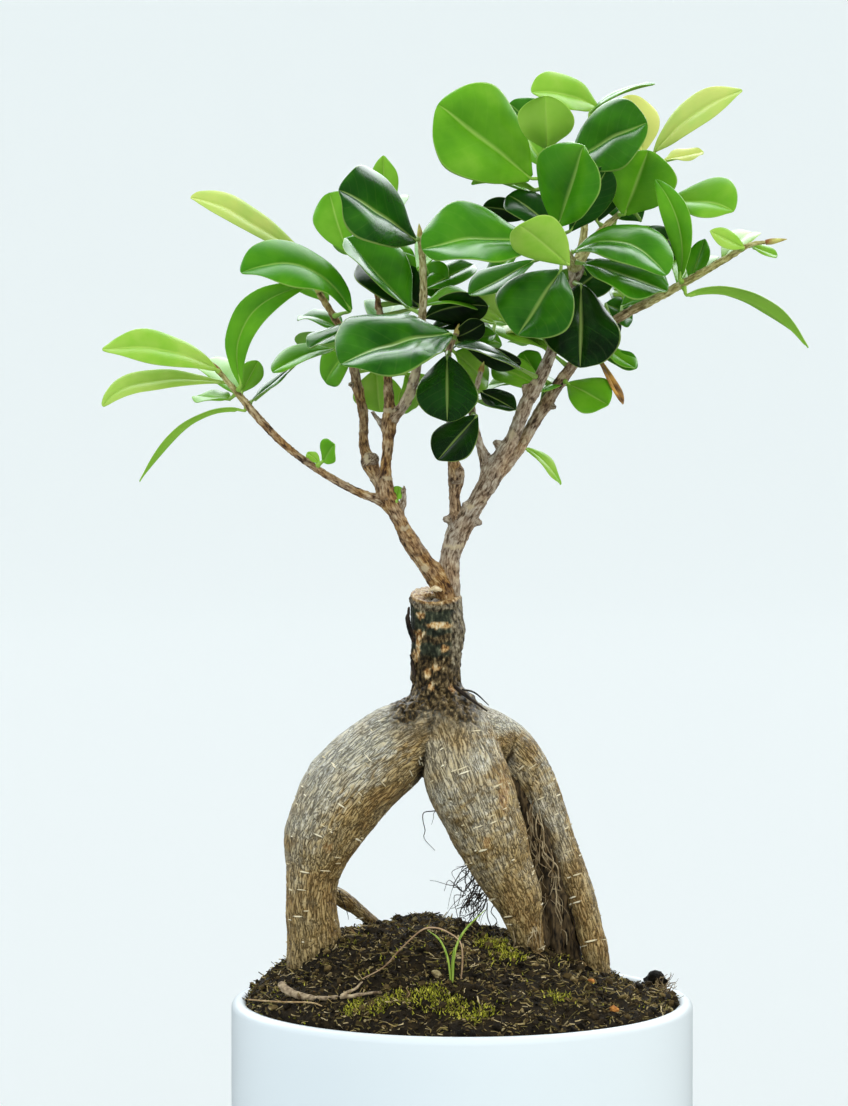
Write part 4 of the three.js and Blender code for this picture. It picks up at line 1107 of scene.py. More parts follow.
def build_rootstock(look):
    """The swollen roots and the cut stem, with wrinkled bark, and the corky pores across them."""
    lines = [through(rows, 2.5) for rows in ROOT_LINES.values()]
    mesh, places, limb, found, cleft = wood_skin("rootstock_bark", lines, look.root_face / MM, 0.6, SAWN)
    grain, across = grain_places(places, lines, limb, found)
    stem = fade(places[:, 2] + 5 * ripple(places, 4, 2), 213, 226)
    stem *= 1 - fade(np.abs(places[:, 0] + 8.5), 12, 18)
    legs = 1 - stem
    sawn, band, flake, scar = old_stem_masks(places, stem)
    cleft = cleft * legs * (1 - fade(places[:, 2] + 2 * ripple(places, 5, 9), 206, 216))
    # Live roots: swellings, wavy cracks, rings round the limb, and the clefts where roots meet.
    wavy = creases(ripple(grain, (1.7, 1.7, 5.5), 1.3), 0.13)
    height = legs * (0.6 * ripple(places, 13, 6) + 0.22 * ripple(places, 5, 3) - look.crack * wavy / MM)
    rings = creases(np.sin(grain[:, 2] * 0.9 + 2 * ripple(places, 9, 3)), 0.2)
    height -= 0.16 * legs * rings * fade(ripple(places, 14, 8), 0, 0.4)
    height -= 0.9 * cleft
    # The old stem: lumpy cork with gashes, smoother on its bands, and the hollow knot in its front.
    rough = stem * (1 - 0.75 * band) * (1 - 0.4 * flake) * (1 - sawn)
    gashes = creases(ripple(places, (2.6, 2.6, 6.5), 5.2), 0.1)
    height += rough * (0.8 * ripple(places, (2.4, 2.4, 3.8), 7.7) - 0.8 * gashes)
    height += stem * 0.22 * ripple(places, 0.9, 2.2) + 0.5 * flake * (1 - sawn)
    hollow = np.linalg.norm((places - HOLLOW[0]) / HOLLOW[1], axis=1)
    height -= 1.8 * (1 - fade(hollow, 0.4, 1.1))
    places = cut_off(places + mesh_normals(mesh) * height[:, None], SAWN)
    places[:, 2] += sawn * 0.35 * ripple(places, 1.1, 9.1)
    move_vertices(mesh, places)
    # Rust at the feet, and tan at the fork of the legs. On faces that look down or to the right, away from
    # the light high at the left, the tan is painted shade, and the grey left on faces towards it is a painted
    # sheen.
    foot = (1 - fade(places[:, 2] + 8 * ripple(places, 8, 4), 146, 214)) * 0.95
    toward_light = mesh_normals(mesh) @ [-0.5, 0, 0.9] + 0.35 * ripple(places, 9, 12)
    foot = np.maximum(foot, 0.9 * (1 - fade(toward_light, -0.3, 0.35)))
    foot = np.maximum(foot, 0.5 * (1 - fade(np.abs(places[:, 0] + 8), 5, 16)) * fade(places[:, 2], 190, 206))
    # Painted shade: in cracks, gashes, clefts and the hollow knot; and darker just above the soil.
    dark = 0.25 * legs * wavy + 0.75 * rough * gashes + 0.85 * cleft + 0.9 * (1 - fade(hollow, 0.5, 1.2))
    dark += 0.2 * (1 - fade(places[:, 2] + 4 * ripple(places, 5, 6), 134, 156))
    pored = creases(np.sin(grain[:, 2] * 0.42 + ripple(places, 12, 7)), 0.3)
    attributes = {
        "grain": grain * MM, "across": across, "old": stem, "foot": foot * legs, "scar": scar, "band": band,
        "flake": flake, "painted_shade": np.clip(dark, 0, 1),
        "pores": legs * fade(227 - places[:, 2], 0, 25) * (0.12 + pored),
    }
    write_attributes(mesh, attributes)
    finished("rootstock_bark", mesh, root_bark(), ["rootstock"])
    # Cork: dull and pale, raised in the pores that cross the root bark.
    cork = tinted("cork lenticel", [(0, "#c4b48e"), (0.5, "#dccfac"), (1, "#f0e6ca")], 0.75)
    pores = scatter_tree("Pores", PORE, "pores", [(0.6, 0.19, 0.16), (2.3, 0.32, 0.3)], (0.4, 1.2))
    strew("lenticels", mesh, "root_bark", pores, Density=look.pores, Size=1 * MM, Seed=5, Material=cork)


def shoot_bark():
    """Young ficus bark: thin and grey, split along the grain to a warm brown, with ringed leaf scars."""
    material, tree, shader = new_material("ficus shoot bark")
    place = add_node(tree, "ShaderNodeTexCoord").outputs["Object"]
    warm, scar, young = stored(tree, ("warm", "scar", "young"))
    grain = add_node(tree, "ShaderNodeAttribute", attribute_name="grain").outputs["Vector"]
    split_sizes = {0: grain, 1: scales(0.75, 0.75, 2.4)}
    drawn = add_node(tree, "ShaderNodeVectorMath", split_sizes, operation="MULTIPLY")
    splits = {"Vector": drawn, "Scale": 1, "Detail": 4, "Roughness": 0.6, "Distortion": 0.6}
    split = add_node(tree, "ShaderNodeTexNoise", splits)
    blotch = add_node(tree, "ShaderNodeTexNoise", {"Vector": place, "Scale": 1 / (3 * MM), "Detail": 5})
    tone = add_node(tree, "ShaderNodeMath", {0: blotch, 1: 0.5, 2: split}, operation="MULTIPLY_ADD")
    grey, brown, green = [
        add_node(tree, "ShaderNodeValToRGB", {"Fac": tone}, stops) for stops in SHOOT_RAMPS.values()
    ]
    colour = layered(tree, grey, [(warm, brown), (young, green), (scar, "#bfae8c")])
    bump = add_node(tree, "ShaderNodeBump", {"Height": tone, "Strength": 0.8, "Distance": 0.7 * MM})
    plug(tree, shader, {"Base Color": colour, "Normal": bump, "Roughness": 0.68, "Specular IOR Level": 0.4})
    return material


# How warm brown each limb of the shoot is; the others are nearly grey.
WARM_LIMBS = {"left_limb": 0.85, "left_outer": 0.7, "left_rear": 0.75, "upright": 0.6, "back_limb": 0.45}


def build_scion(look):
    """The grafted shoot with its limbs, knobs and ringed twigs."""
    rows = {**SHOOT_LINES, **KNOBS}
    lines = [through(points, 2) for points in rows.values()]
    mesh, places, limb, found, _ = wood_skin("scion_bark", lines, look.shoot_face / MM, 0.8)
    grain, _ = grain_places(places, lines, limb, found)
    girth = np.array([line[:, 3].max() for line in lines])[limb]
    thick = fade(girth, 1.2, 3)
    rings = creases(np.sin(grain[:, 2] * 0.45 + 1.5 * ripple(places, 11, 4)), 0.16)
    splits = creases(ripple(grain, (1.2, 1.2, 4), 2.3), 0.12)
    height = 0.3 * thick * ripple(places, 4, 3) + 0.16 * ripple(places, 1.3, 6) + 0.14 * rings
    height -= 0.16 * splits * (0.4 + 0.6 * thick)
    places = places + mesh_normals(mesh) * height[:, None]
    move_vertices(mesh, places)
    warm = np.array([WARM_LIMBS.get(name, 0.15) for name in rows])[limb]
    warm = np.clip(warm + 0.5 * ripple(places, 6, 9), 0, 1)
    x, _, z = places.T
    tips = fade(z, 335, 372) * (1 - thick) + fade(x, 52, 72) + fade(-x, 64, 80)
    ringed = 0.25 * rings * fade(ripple(places, 3, 2), 0, 0.4)
    scar = np.maximum(0.7 * spots(places, SHOOT_SCARS, 0.8), ringed)
    write_attributes(mesh, {"grain": grain * MM, "warm": warm, "young": np.clip(tips, 0, 0.8), "scar": scar})
    finished("scion_bark", mesh, shoot_bark(), ["scion"])


# Hair roots, stubs and chips.


def hair(start, end, wander, radius, rng):
    """A thin root that wanders from one point to another."""
    start, end = np.array(start, float), np.array(end, float)
    count = max(4, int(np.linalg.norm(end - start) / 3))  # bends, one about every 3 mm
    rows = []
    for i in range(count + 1):
        t = i / count
        off = np.array([rng.uniform(-1, 1) for _ in range(3)]) * wander * (0.2 + math.sin(math.pi * t))
        rows.append([*(start + (end - start) * t + (off if 0 < i else 0)), radius * (1 - 0.6 * t)])
    return tube(through(rows, 1.2), 5)


def build_rootlets():
    """Fine roots: in the cleft of the right-hand legs, in the dark tangle behind and at the crotch."""
    rng = random.Random(11)
    pale, dark = [], []
    for _ in range(16):
        x = rng.uniform(20, 27)
        start = (x, rng.uniform(-7, 1), rng.uniform(178, 196))
        end = (x + rng.uniform(0, 9), rng.uniform(-9, -2), rng.uniform(147, 158))
        pale.append(hair(start, end, 2.2, rng.uniform(0.13, 0.3), rng))
    for _ in range(14):
        start = (rng.uniform(16, 24), -14 + rng.uniform(0, 3), rng.uniform(152, 172))
        end = (start[0] + rng.uniform(-2, 4), start[1] - rng.uniform(0, 2), 147.5)
        pale.append(hair(start, end, 0.9, rng.uniform(0.14, 0.28), rng))
    for _ in range(60):
        start = (rng.uniform(1, 12), rng.uniform(-2, 8), rng.uniform(158, 178))
        end = (start[0] - rng.uniform(-1, 9), start[1] + rng.uniform(-4, 5), start[2] - rng.uniform(3, 18))
        dark.append(hair(start, end, 2.2, rng.uniform(0.12, 0.26), rng))
    for _ in range(12):
        start = (rng.uniform(26, 36), rng.uniform(-2, 6), rng.uniform(150, 172))
        end = (start[0] + rng.uniform(-3, 5), start[1] - rng.uniform(0, 4), 144)
        dark.append(hair(start, end, 1.6, rng.uniform(0.15, 0.35), rng))
    dark.append(tube(through(THREAD, 1), 5))
    for start, end, radius in (
        ((-2, 4, 166), (-10.4, 4, 167.7), 0.16),
        ((-7, -4, 194), (-10, -6, 187), 0.15),
        ((-40, -1, 165), (-37, 2, 155), 0.2),
    ):
        dark.append(hair(start, end, 0.8, radius, rng))
    dark += [tube(through(THICK_STUB, 1), 7), tube(through(THIN_STUB, 1), 5)]
    for chip in BARK_CHIPS:
        places, faces = tube(through(chip, 0.7), 9, flat=0.6)
        dark.append((shaken(places, 0.35, 1.4, (2, 5, 9)), faces))
    # Callus: healed wood, pale and smooth where the bark has chipped off.
    callus = straw("callus", "#b08f5a", "#e8dab8", 1.6)
    places, faces = tube(through(CALLUS, 0.4), 12, flat=0.8)
    shell_piece("callus_chip", [(shaken(places, 0.5, 1.3, (3, 7, 11)), faces)], callus)
    # Root bark in the cleft: nearly black, with brown streaks drawn along the roots.
    cleft_bark = straw("cleft root bark", "#110c06", "#5f4d30", 0.8, 5)
    lines = [through(rows, 2) for rows in CLEFT_ROOTS]
    mesh, places, _, _, _ = wood_skin("cleft_roots", lines, 0.5, 0.5)
    bumps = 0.5 * ripple(places, 3, 2) + 0.8 * ripple(places, (1, 1, 4), 7)
    move_vertices(mesh, places + mesh_normals(mesh) * bumps[:, None])
    finished("cleft_roots", mesh, cleft_bark)
    # Hair roots dry to tan, and dead ones go nearly black.
    tan = straw("dried hair root", "#6a5230", "#bfae8a", 3)
    black = straw("dead root", "#0f0b08", "#3a2c20", 3)
    shell_piece("hair_roots", pale, tan)
    shell_piece("dead_roots", dark, black)


# The leaves.

VEINS = 10  # side veins on each half of a blade
VEIN_SLOPE = 2.3  # how many veins' spacing a vein rises from the midrib to the rim


def ficus_leaf(name, wax, roughness):
    """Ficus leaf: a thick waxed blade, glossy above and dull below, with a pale midrib and a painted
    highlight on its rim.

    wax is the strength of its shine and roughness how broad that shine is.
    """
    material, tree, shader = new_material(name)
    place = add_node(tree, "ShaderNodeTexCoord").outputs["Object"]
    age_and_shade, under = stored(tree, ("age_and_shade", "under"))
    spread = add_node(tree, "ShaderNodeUVMap", uv_map="UVMap")
    parts = add_node(tree, "ShaderNodeSeparateXYZ", {0: spread}).outputs
    along = parts[1]
    across = add_node(tree, "ShaderNodeMath", {0: parts[0], 1: 2.0, 2: -1.0}, operation="MULTIPLY_ADD")
    side = add_node(tree, "ShaderNodeMath", {0: across}, operation="ABSOLUTE")
    cloud = add_node(tree, "ShaderNodeTexNoise", {"Vector": place, "Scale": 1 / (11 * MM), "Detail": 3})
    drift = add_node(tree, "ShaderNodeMapRange", {"Value": cloud, "To Min": -0.16, "To Max": 0.16})
    darkness = add_node(tree, "ShaderNodeMath", {0: age_and_shade, 1: drift})
    # The green follows each leaf's age, which on leaves in shadow is darker still as painted shade.
    greens = [
        (0, "#c9ce6e"), (0.14, "#aec75f"), (0.3, "#84b435"), (0.46, "#5e9c18"), (0.62, "#3c7f0a"),
        (0.8, "#154a03"), (1, "#031b01"),
    ]
    green = add_node(tree, "ShaderNodeValToRGB", {"Fac": darkness}, greens)
    slope = add_node(tree, "ShaderNodeMath", {0: side, 1: -VEIN_SLOPE}, operation="MULTIPLY")
    run = {0: along, 1: VEINS, 2: slope}
    count = add_node(tree, "ShaderNodeMath", run, operation="MULTIPLY_ADD")
    saw = add_node(tree, "ShaderNodeMath", {0: count, 1: 0.5}, operation="PINGPONG")
    near_vein = {"Value": saw, "From Min": 0.0, "From Max": 0.09, "To Min": 1, "To Max": 0}
    vein = add_node(tree, "ShaderNodeMapRange", near_vein)
    taper = add_node(tree, "ShaderNodeMapRange", {"Value": along, "To Min": 0.1, "To Max": 0.03})
    near_rib = {"Value": side, "From Min": 0.0, "From Max": taper, "To Min": 1, "To Max": 0}
    rib = add_node(tree, "ShaderNodeMapRange", near_rib)
    # A pale band along the rim is a painted highlight.
    rim_highlight = add_node(tree, "ShaderNodeMapRange", {"Value": side, "From Min": 0.95, "From Max": 0.99})
    veins = add_node(tree, "ShaderNodeMath", {0: vein, 1: 0.04}, operation="MULTIPLY")
    marks = add_node(tree, "ShaderNodeMath", {0: rib, 1: rim_highlight}, operation="MAXIMUM")
    pale_marks = add_node(tree, "ShaderNodeMath", {0: marks, 1: 0.8}, operation="MULTIPLY")
    share = add_node(tree, "ShaderNodeMath", {0: pale_marks, 1: veins}, operation="MAXIMUM")
    light = layered(tree, green, [(0.5, "#bcd670")])
    upper = layered(tree, green, [(share, light)])
    colour = layered(tree, upper, [(under, layered(tree, upper, [(0.5, "#88b83e")]))])
    rough = add_node(tree, "ShaderNodeMapRange", {"Value": under, "To Min": roughness, "To Max": 0.5})
    fine = add_node(tree, "ShaderNodeTexNoise", {"Vector": place, "Scale": 1 / (0.9 * MM), "Detail": 2})
    high = add_node(tree, "ShaderNodeMath", {0: vein, 1: -0.5, 2: fine}, operation="MULTIPLY_ADD")
    bump = add_node(tree, "ShaderNodeBump", {"Height": high, "Strength": 0.12, "Distance": 0.15 * MM})
    plug(tree, shader, {
        "Base Color": colour, "Roughness": rough, "Normal": bump, "IOR": 1.5, "Specular IOR Level": wax,
        "Subsurface Weight": 0.06, "Subsurface Radius": (0.5, 1.0, 0.15), "Subsurface Scale": 0.8 * MM,
    })
    return material


def leaf_sections(node):
    """A leaf's seat, tip and the six points of each section, read from its solid in the frame."""
    solid = bmesh.new()
    solid.from_mesh(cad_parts[node].data)
    bmesh.ops.remove_doubles(solid, verts=solid.verts, dist=MM / 1000)
    solid.verts.ensure_lookup_table()
    places = np.array([v.co[:] for v in solid.verts]) / MM
    beside = [{e.other_vert(v).index for e in v.link_edges} for v in solid.verts]
    solid.free()
    found = []
    for pole in range(len(places)):
        seen, level, levels = {pole}, {pole}, []
        while level:
            levels.append(sorted(level))
            level = set().union(*(beside[i] for i in level)) - seen
            seen |= level
        if [len(part) for part in levels] == [1] + [6] * (len(BLADE) + 2) + [1]:
            rings = [places[part] for part in levels]
            spans = [np.ptp(ring, axis=0).max() for ring in rings[1:3]]
            found.append((abs(spans[0] / spans[1] - 1), rings))
    if len(found) != 2:
        raise RuntimeError(f"{node} isn't built of the sections that this script reads")
    rings = min(found, key=lambda item: item[0])[1]
    return rings[0][0], rings[-1][0], rings[1:-1]


def read_leaf(node):
    """A CAD leaf's seat, tip, and its midrib, left and right edge and upward direction at each section."""
    seat, tip, rings = leaf_sections(node)
    blade = rings[2:]
    wide = max(blade, key=lambda ring: np.ptp(ring, axis=0).max())
    spread = np.linalg.svd(wide - wide.mean(0))[2][0]
    ordered = [ring[np.argsort(ring @ spread)] for ring in blade]
    lefts, mids, rights = (np.array([ring[i : i + 2].mean(0) for ring in ordered]) for i in (0, 2, 4))
    ups = unit((lefts + rights) / 2 - mids)
    tangents = unit(np.gradient(np.vstack([mids, tip]), axis=0)[:-1])
    if (np.cross(rights - lefts, tangents) * ups).sum() < 0:
        lefts, rights = rights, lefts
    return seat, tip, mids, lefts, rights, ups


def seat_near(base):
    """The place on the shoot's skin that is nearest to a leaf's base."""
    line = np.vstack([through(rows, 2) for rows in SHOOT_LINES.values()])
    closest = (np.linalg.norm(line[:, :3] - base, axis=1) - line[:, 3]).argmin()
    centre, radius = line[closest, :3], line[closest, 3]
    return centre + unit(base - centre) * radius


def drawn_leaf(base, tip, width, face, arch):
    """A small leaf in the same form as read_leaf gives."""
    base, tip, upper = np.array(base, float), np.array(tip, float), unit(np.array(face, float))
    bend = (base + tip) / 2 + upper * arch * 2
    t = BLADE[:, :1]
    mids = base * (1 - t) ** 2 + bend * 2 * t * (1 - t) + tip * t**2
    tangents = unit(2 * (1 - t) * (bend - base) + 2 * t * (tip - bend))
    sides = unit(np.cross(tangents, upper))
    ups = np.cross(sides, tangents)
    half = width / 2 * BLADE[:, 1:]
    lift = ups * half * 0.18
    return seat_near(base), tip, mids, mids - sides * half + lift, mids + sides * half + lift, ups


def between(points, index):
    """Smooth values at fractional indices through points."""
    points = carried_on(points)
    i = np.clip(index.astype(int), 0, len(points) - 4)
    return curve(points[i], points[i + 1], points[i + 2], points[i + 3], (index - i)[:, None])


TURNED = {"front_turned"}  # leaves that show their glossy side to the front although they cup the other way
# How much wider than in the frame a blade is, and the radians that a blade lies turned about its midrib.
WIDER = {"limb_curled": 1.5, "dry_leaf": 1.7, "left_strap": 0.8, "right_strap": 1.9, "top_yellow": 1.25}
ROLLED = {"top_back": -0.65}

# Where the columns of a blade stand from the midrib at 0 to the rim at 1, on a large and on a small leaf.
HALF = np.array([0, 0.05, 0.11, 0.22, 0.38, 0.54, 0.7, 0.83, 0.92, 0.97, 1])
SMALL_HALF = np.array([0, 0.06, 0.14, 0.34, 0.6, 0.85, 0.96, 1])


def leaf_shell(shape, look, rng, half=HALF, step=0.25):
    """One leaf as a closed shell with its stalk: places, faces, UV and how much each vertex is underside.

    half lists where its columns stand, and step is how far apart its rings are, in sections of the shape.
    """
    seat, tip, mids, lefts, rights, ups = shape
    last = len(mids)
    near_tip = last - 1 + np.array([0, 0.2, 0.4, 0.58, 0.74, 0.87, 0.96])
    inner = np.concatenate([np.arange(0, last - 1, step), near_tip])
    ridge = between(np.vstack([mids, tip]), inner)
    blunt = np.array([0, 0, 0.1, 0.3, 0.5, 0.6, 0.6])[:, None]
    fuller = 1.05 + look.blunt * rng.uniform(0.7, 1.2) * blunt
    lefts, rights = mids + (lefts - mids) * fuller, mids + (rights - mids) * fuller
    outline = np.vstack([lefts, tip, rights[::-1]])
    left = between(outline, inner)
    right = between(outline, 2 * last - inner)
    up = unit(between(np.vstack([ups, ups[-1]]), inner))
    wide = np.linalg.norm(right - left, axis=1).max() / 2
    wave, phase = rng.uniform(0.5, 1.1) * look.wave, rng.uniform(0, TURN)
    waves = rng.uniform(1.2, 2.2)
    twist, fold = rng.uniform(-0.25, 0.25), rng.uniform(-0.04, 0.1)
    columns = np.concatenate([-half[:0:-1], half])
    s = np.abs(columns)
    rings = []
    for j, t in enumerate(inner / last):
        arm = np.where(columns[:, None] < 0, left[j] - ridge[j], right[j] - ridge[j])
        size = np.linalg.norm(arm, axis=1)
        # Each half bulges, folds up from the midrib and turns down at its rim, and the blade twists.
        crest = 0.07 * size * np.sin(np.pi * s) + fold * size * s - 0.08 * size * s**4
        crest += np.sign(columns) * twist * size * s * t**1.5
        ripples = wave * wide * np.sin(t * TURN * waves + phase + (columns > 0) * 1.9) * s**2.5
        ripples = ripples * min(1, 4 * t) * min(1, 5 * (1 - t))
        groove = look.groove / MM * np.exp(-((s / 0.07) ** 2)) * (1 - 0.6 * t)
        vein = 0.02 * np.cos(2 * np.pi * (t * VEINS - s * VEIN_SLOPE)) * s * (1 - s) * 4
        lift = crest + ripples + (size > 0.8) * (vein - groove)
        top = ridge[j] + s[:, None] * arm + lift[:, None] * up[j]
        buckle = ripple(top, 12, phase) * wide * 0.12 * min(1, 3 * t)
        top = top + buckle[:, None] * up[j]
        # The midrib stands out below and fades towards the tip.
        rib = 0.45 * np.exp(-((s / 0.1) ** 2)) * (1 - t) * (size > 0.8)
        thick = look.thickness / MM * (1 - 0.45 * s**2) + rib
        low = top - thick[:, None] * up[j]
        top[[0, -1]] = (top[[0, -1]] + low[[0, -1]]) / 2
        rings.append(np.vstack([top, low[-2:0:-1]]))
    blade = skin(rings, rings[0].mean(0), tip)
    uv_ring = np.concatenate([columns, columns[-2:0:-1]]) / 2 + 0.5
    under_ring = np.concatenate([np.zeros(len(columns)), np.ones(len(columns) - 2)])
    uv = [(0.5, 0)] + [(u, v) for v in inner / last for u in uv_ring] + [(0.5, 1)]
    path = [seat, seat + (mids[0] - seat) * 0.5, mids[0], between(mids, np.array([0.6]))[0]]
    path = np.array(path) - np.outer([0, 0.1, 0.15, 0.35], ups[0])
    stalk = tube(through(np.column_stack([path, [0.95, 0.6, 0.55, 0.3]]), 0.9), 8)
    uv += [(0.5, 0)] * len(stalk[0])
    under = np.concatenate([[0], np.tile(under_ring, len(rings)), [0], np.full(len(stalk[0]), 0.5)])
    return *joined([blade, stalk]), uv, under


def rolled(arms, axes, turn):
    """Vectors turned about axes of length 1."""
    along = (arms * axes).sum(1, keepdims=True)
    return arms * math.cos(turn) + np.cross(axes, arms) * math.sin(turn) + axes * along * (1 - math.cos(turn))


def leaf_mesh(name, shells):
    """One mesh of leaf shells, each with its age, which on leaves in shadow also holds painted shade."""
    places, faces = joined([(shell[0], shell[1]) for shell, _ in shells])
    uv = [pair for shell, _ in shells for pair in shell[2]]
    under = np.concatenate([shell[3] for shell, _ in shells])
    age_and_shade = np.concatenate([np.full(len(shell[0]), value) for shell, value in shells])
    return plain_mesh(name, places, faces, {"under": under, "age_and_shade": age_and_shade}, uv)


def frame_leaf(name):
    """A CAD leaf in the form that leaf_shell takes, turned, rolled and widened as its name says."""
    seat, tip, mids, lefts, rights, ups = read_leaf("leaf_" + name)
    arms = [lefts - mids, rights - mids, ups]
    if name in TURNED:
        arms = [arms[1], arms[0], -ups]
    if name in ROLLED:
        tangents = unit(np.gradient(mids, axis=0))
        arms = [rolled(arm, tangents, ROLLED[name]) for arm in arms]
    wider = WIDER.get(name, 1)
    return seat, tip, mids, mids + arms[0] * wider, mids + arms[1] * wider, arms[2]


def build_leaves(look):
    """Every leaf of the frame as a thin waxed blade on its stalk, and the smaller leaves among them."""
    young = ficus_leaf("young ficus leaf", 0.22, look.roughness + 0.12)
    old = ficus_leaf("old ficus leaf", 0.66, look.roughness)
    small = ficus_leaf("small ficus leaf", 0.4, look.roughness + 0.04)
    # A dry leaf: papery, curled and matt, tan with dark brown edges.
    dry = straw("dry leaf", "#5b3a17", "#c8953f", 5)
    for node in sorted(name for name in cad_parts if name.startswith("leaf_")):
        name = node.removeprefix("leaf_")
        shell = leaf_shell(frame_leaf(name), look, random.Random(name))
        age_and_shade = LEAF_AGE_AND_SHADE.get(name)
        mesh = leaf_mesh(name, [(shell, age_and_shade or 0)])
        material = dry if age_and_shade is None else old if age_and_shade > OLD_FROM else young
        finished(f"blade_{name}", mesh, material, [node])
    rng = random.Random(3)
    shells = []
    for *shape, age_and_shade, arch in SMALL_LEAVES:
        shells.append((leaf_shell(drawn_leaf(*shape, arch), look, rng, SMALL_HALF, 1 / 3), age_and_shade))
    finished("small_leaves", leaf_mesh("small_leaves", shells), small)


# The rolled bud at the end of a twig: which way it points and its length.
BUDS = {
    "top_rear": ((0.1, 0, 1), 6), "top_left": ((-0.1, 0, 1), 6), "top_right": ((0.5, 0.2, 1), 6),
    "top_front": ((-0.3, -0.7, 0.6), 5), "back_limb": ((1, 0, 0.15), 7), "left_outer": ((-0.6, 0, 0.8), 5),
    "left_limb": ((0.2, 0.2, 1), 6), "left_rear": ((-0.5, -0.2, 0.9), 5),
    "left_fork": ((-0.1, -0.1, 1), 5), "upright": ((0.3, 0, 1), 4), "short_side": ((0.3, 0, 1), 4),
}
BUD_PROFILE = [(0, 0.8), (0.25, 1.0), (0.55, 0.75), (0.85, 0.35), (1, 0.08)]  # its radius along its length


def build_buds():
    """The rolled bud sheath at the tip of each twig."""
    shells = []
    for limb, (way, length) in BUDS.items():
        way = unit(np.array(way, float))
        start = SHOOT_LINES[limb][-1][:3] - way * 0.5
        rows = [[*(start + way * length * t), radius] for t, radius in BUD_PROFILE]
        places, faces = tube(through(rows, 0.6), 8)
        uv = [(0.5, 0.3)] * len(places)
        shells.append(((places, faces, uv, np.full(len(places), 0.6)), 0.12))
    # Bud sheath: a rolled stipule, papery, reddish brown over yellow-green.
    sheath = straw("bud sheath", "#8a5a2c", "#c2c46a", 4)
    finished("buds", leaf_mesh("buds", shells), sheath)


# Small plants and dead stems on the soil.


def grass():
    """Grass: a thin living blade, smooth and a little glossy, with streaks along it."""
    material, tree, shader = new_material("grass blade")
    place = add_node(tree, "ShaderNodeTexCoord").outputs["Object"]
    streak = add_node(tree, "ShaderNodeVectorMath", {0: place, 1: scales(0.4, 0.4, 9)}, operation="MULTIPLY")
    lines = add_node(tree, "ShaderNodeTexNoise", {"Vector": streak, "Scale": 1, "Detail": 2})
    colour = add_node(tree, "ShaderNodeValToRGB", {"Fac": lines}, [(0.35, "#6a8c1e"), (0.65, "#b2c758")])
    plug(tree, shader, {"Base Color": colour, "Roughness": 0.45})
    return material


def build_seedling():
    """The green grass seedling, and a dead blade that arches beside it."""
    shells = [tube(through(rows, 1.5), 8, flat=0.7) for rows in GRASS_BLADES]
    shell_piece("seedling_blades", shells, grass(), ["grass_seedling"])
    # Dead grass: dried on the plant, papery and tan.
    dead = straw("dead grass", "#7a5a3c", "#c9ab86", 6)
    shell_piece("dead_blade", [tube(through(DEAD_BLADE, 1.2), 8, flat=0.5)], dead)


def build_dead_twig():
    """The dead twig at the front with its knotted end, and straws that lie about."""
    rng = random.Random(5)
    places, faces = joined([tube(through(DEAD_TWIG, 1), 10), tube(through(TWIG_BRANCH, 1), 7)])
    # Dead twig wood: weathered, grey-brown where bark is left and pale where it is gone.
    wood = straw("dead twig wood", "#57432c", "#b9a585", 1.6)
    shell_piece("twig_dead", [(shaken(places, 0.3, 2.1, (1, 4, 8)), faces)], wood, ["dead_twig"])
    shells = [tube(through(STRAW, 1.5), 6)]
    for _ in range(16):
        turn, far = rng.uniform(0, TURN), rng.uniform(20, 66)
        x, y = far * math.cos(turn), far * math.sin(turn)
        way = rng.uniform(0, TURN)
        length = rng.uniform(6, 13)
        end = (x + length * math.cos(way), y + length * math.sin(way))
        if math.hypot(*end) > INNER_RADIUS - 2:
            continue
        rise = soil_at(*end) + rng.uniform(0, 1.5)
        shells.append(hair((x, y, soil_at(x, y) + 0.4), (*end, rise), 1.5, rng.uniform(0.14, 0.22), rng))
    # Straw: bits of dry stalk, matt and tan.
    shell_piece("straws", shells, straw("straw", "#8a6a40", "#c6ac7c", 5))


# The stage.


def build_floor(colour):
    """A wide bowl of pale studio paper, flat under the plant and curved up far behind it."""
    facets, flat, sweep, middle = 96, (200, 600, 1400, 2600, 4000), 2500, 5500
    bends = np.radians(np.arange(0, 91, 6))
    profile = [(radius, 0) for radius in flat]
    profile += [(middle + sweep * math.sin(a), sweep * (1 - math.cos(a))) for a in bends]
    places = np.vstack([[[0, 0, 0]], *level_rings(profile, facets)])
    faces = [(0, 1 + k, 1 + (k + 1) % facets) for k in range(facets)]
    for a in range(1, len(places) - facets, facets):
        b = a + facets
        faces += [(a + k, b + k, b + (k + 1) % facets, a + (k + 1) % facets) for k in range(facets)]
    mesh = bpy.data.meshes.new("studio_floor")
    mesh.from_pydata((places * MM).tolist(), [], faces)
    mesh.shade_smooth()
    # Studio paper: matt and pale, without any shine.
    paper, tree, shader = new_material("pale studio paper")
    plug(tree, shader, {"Base Color": [*colour, 1], "Roughness": 0.9, "Specular IOR Level": 0.1})
    mesh.materials.append(paper)
    floor = bpy.data.objects.new("studio_floor", mesh)
    bpy.context.scene.collection.objects.link(floor)
    floor.visible_glossy = False
    return floor


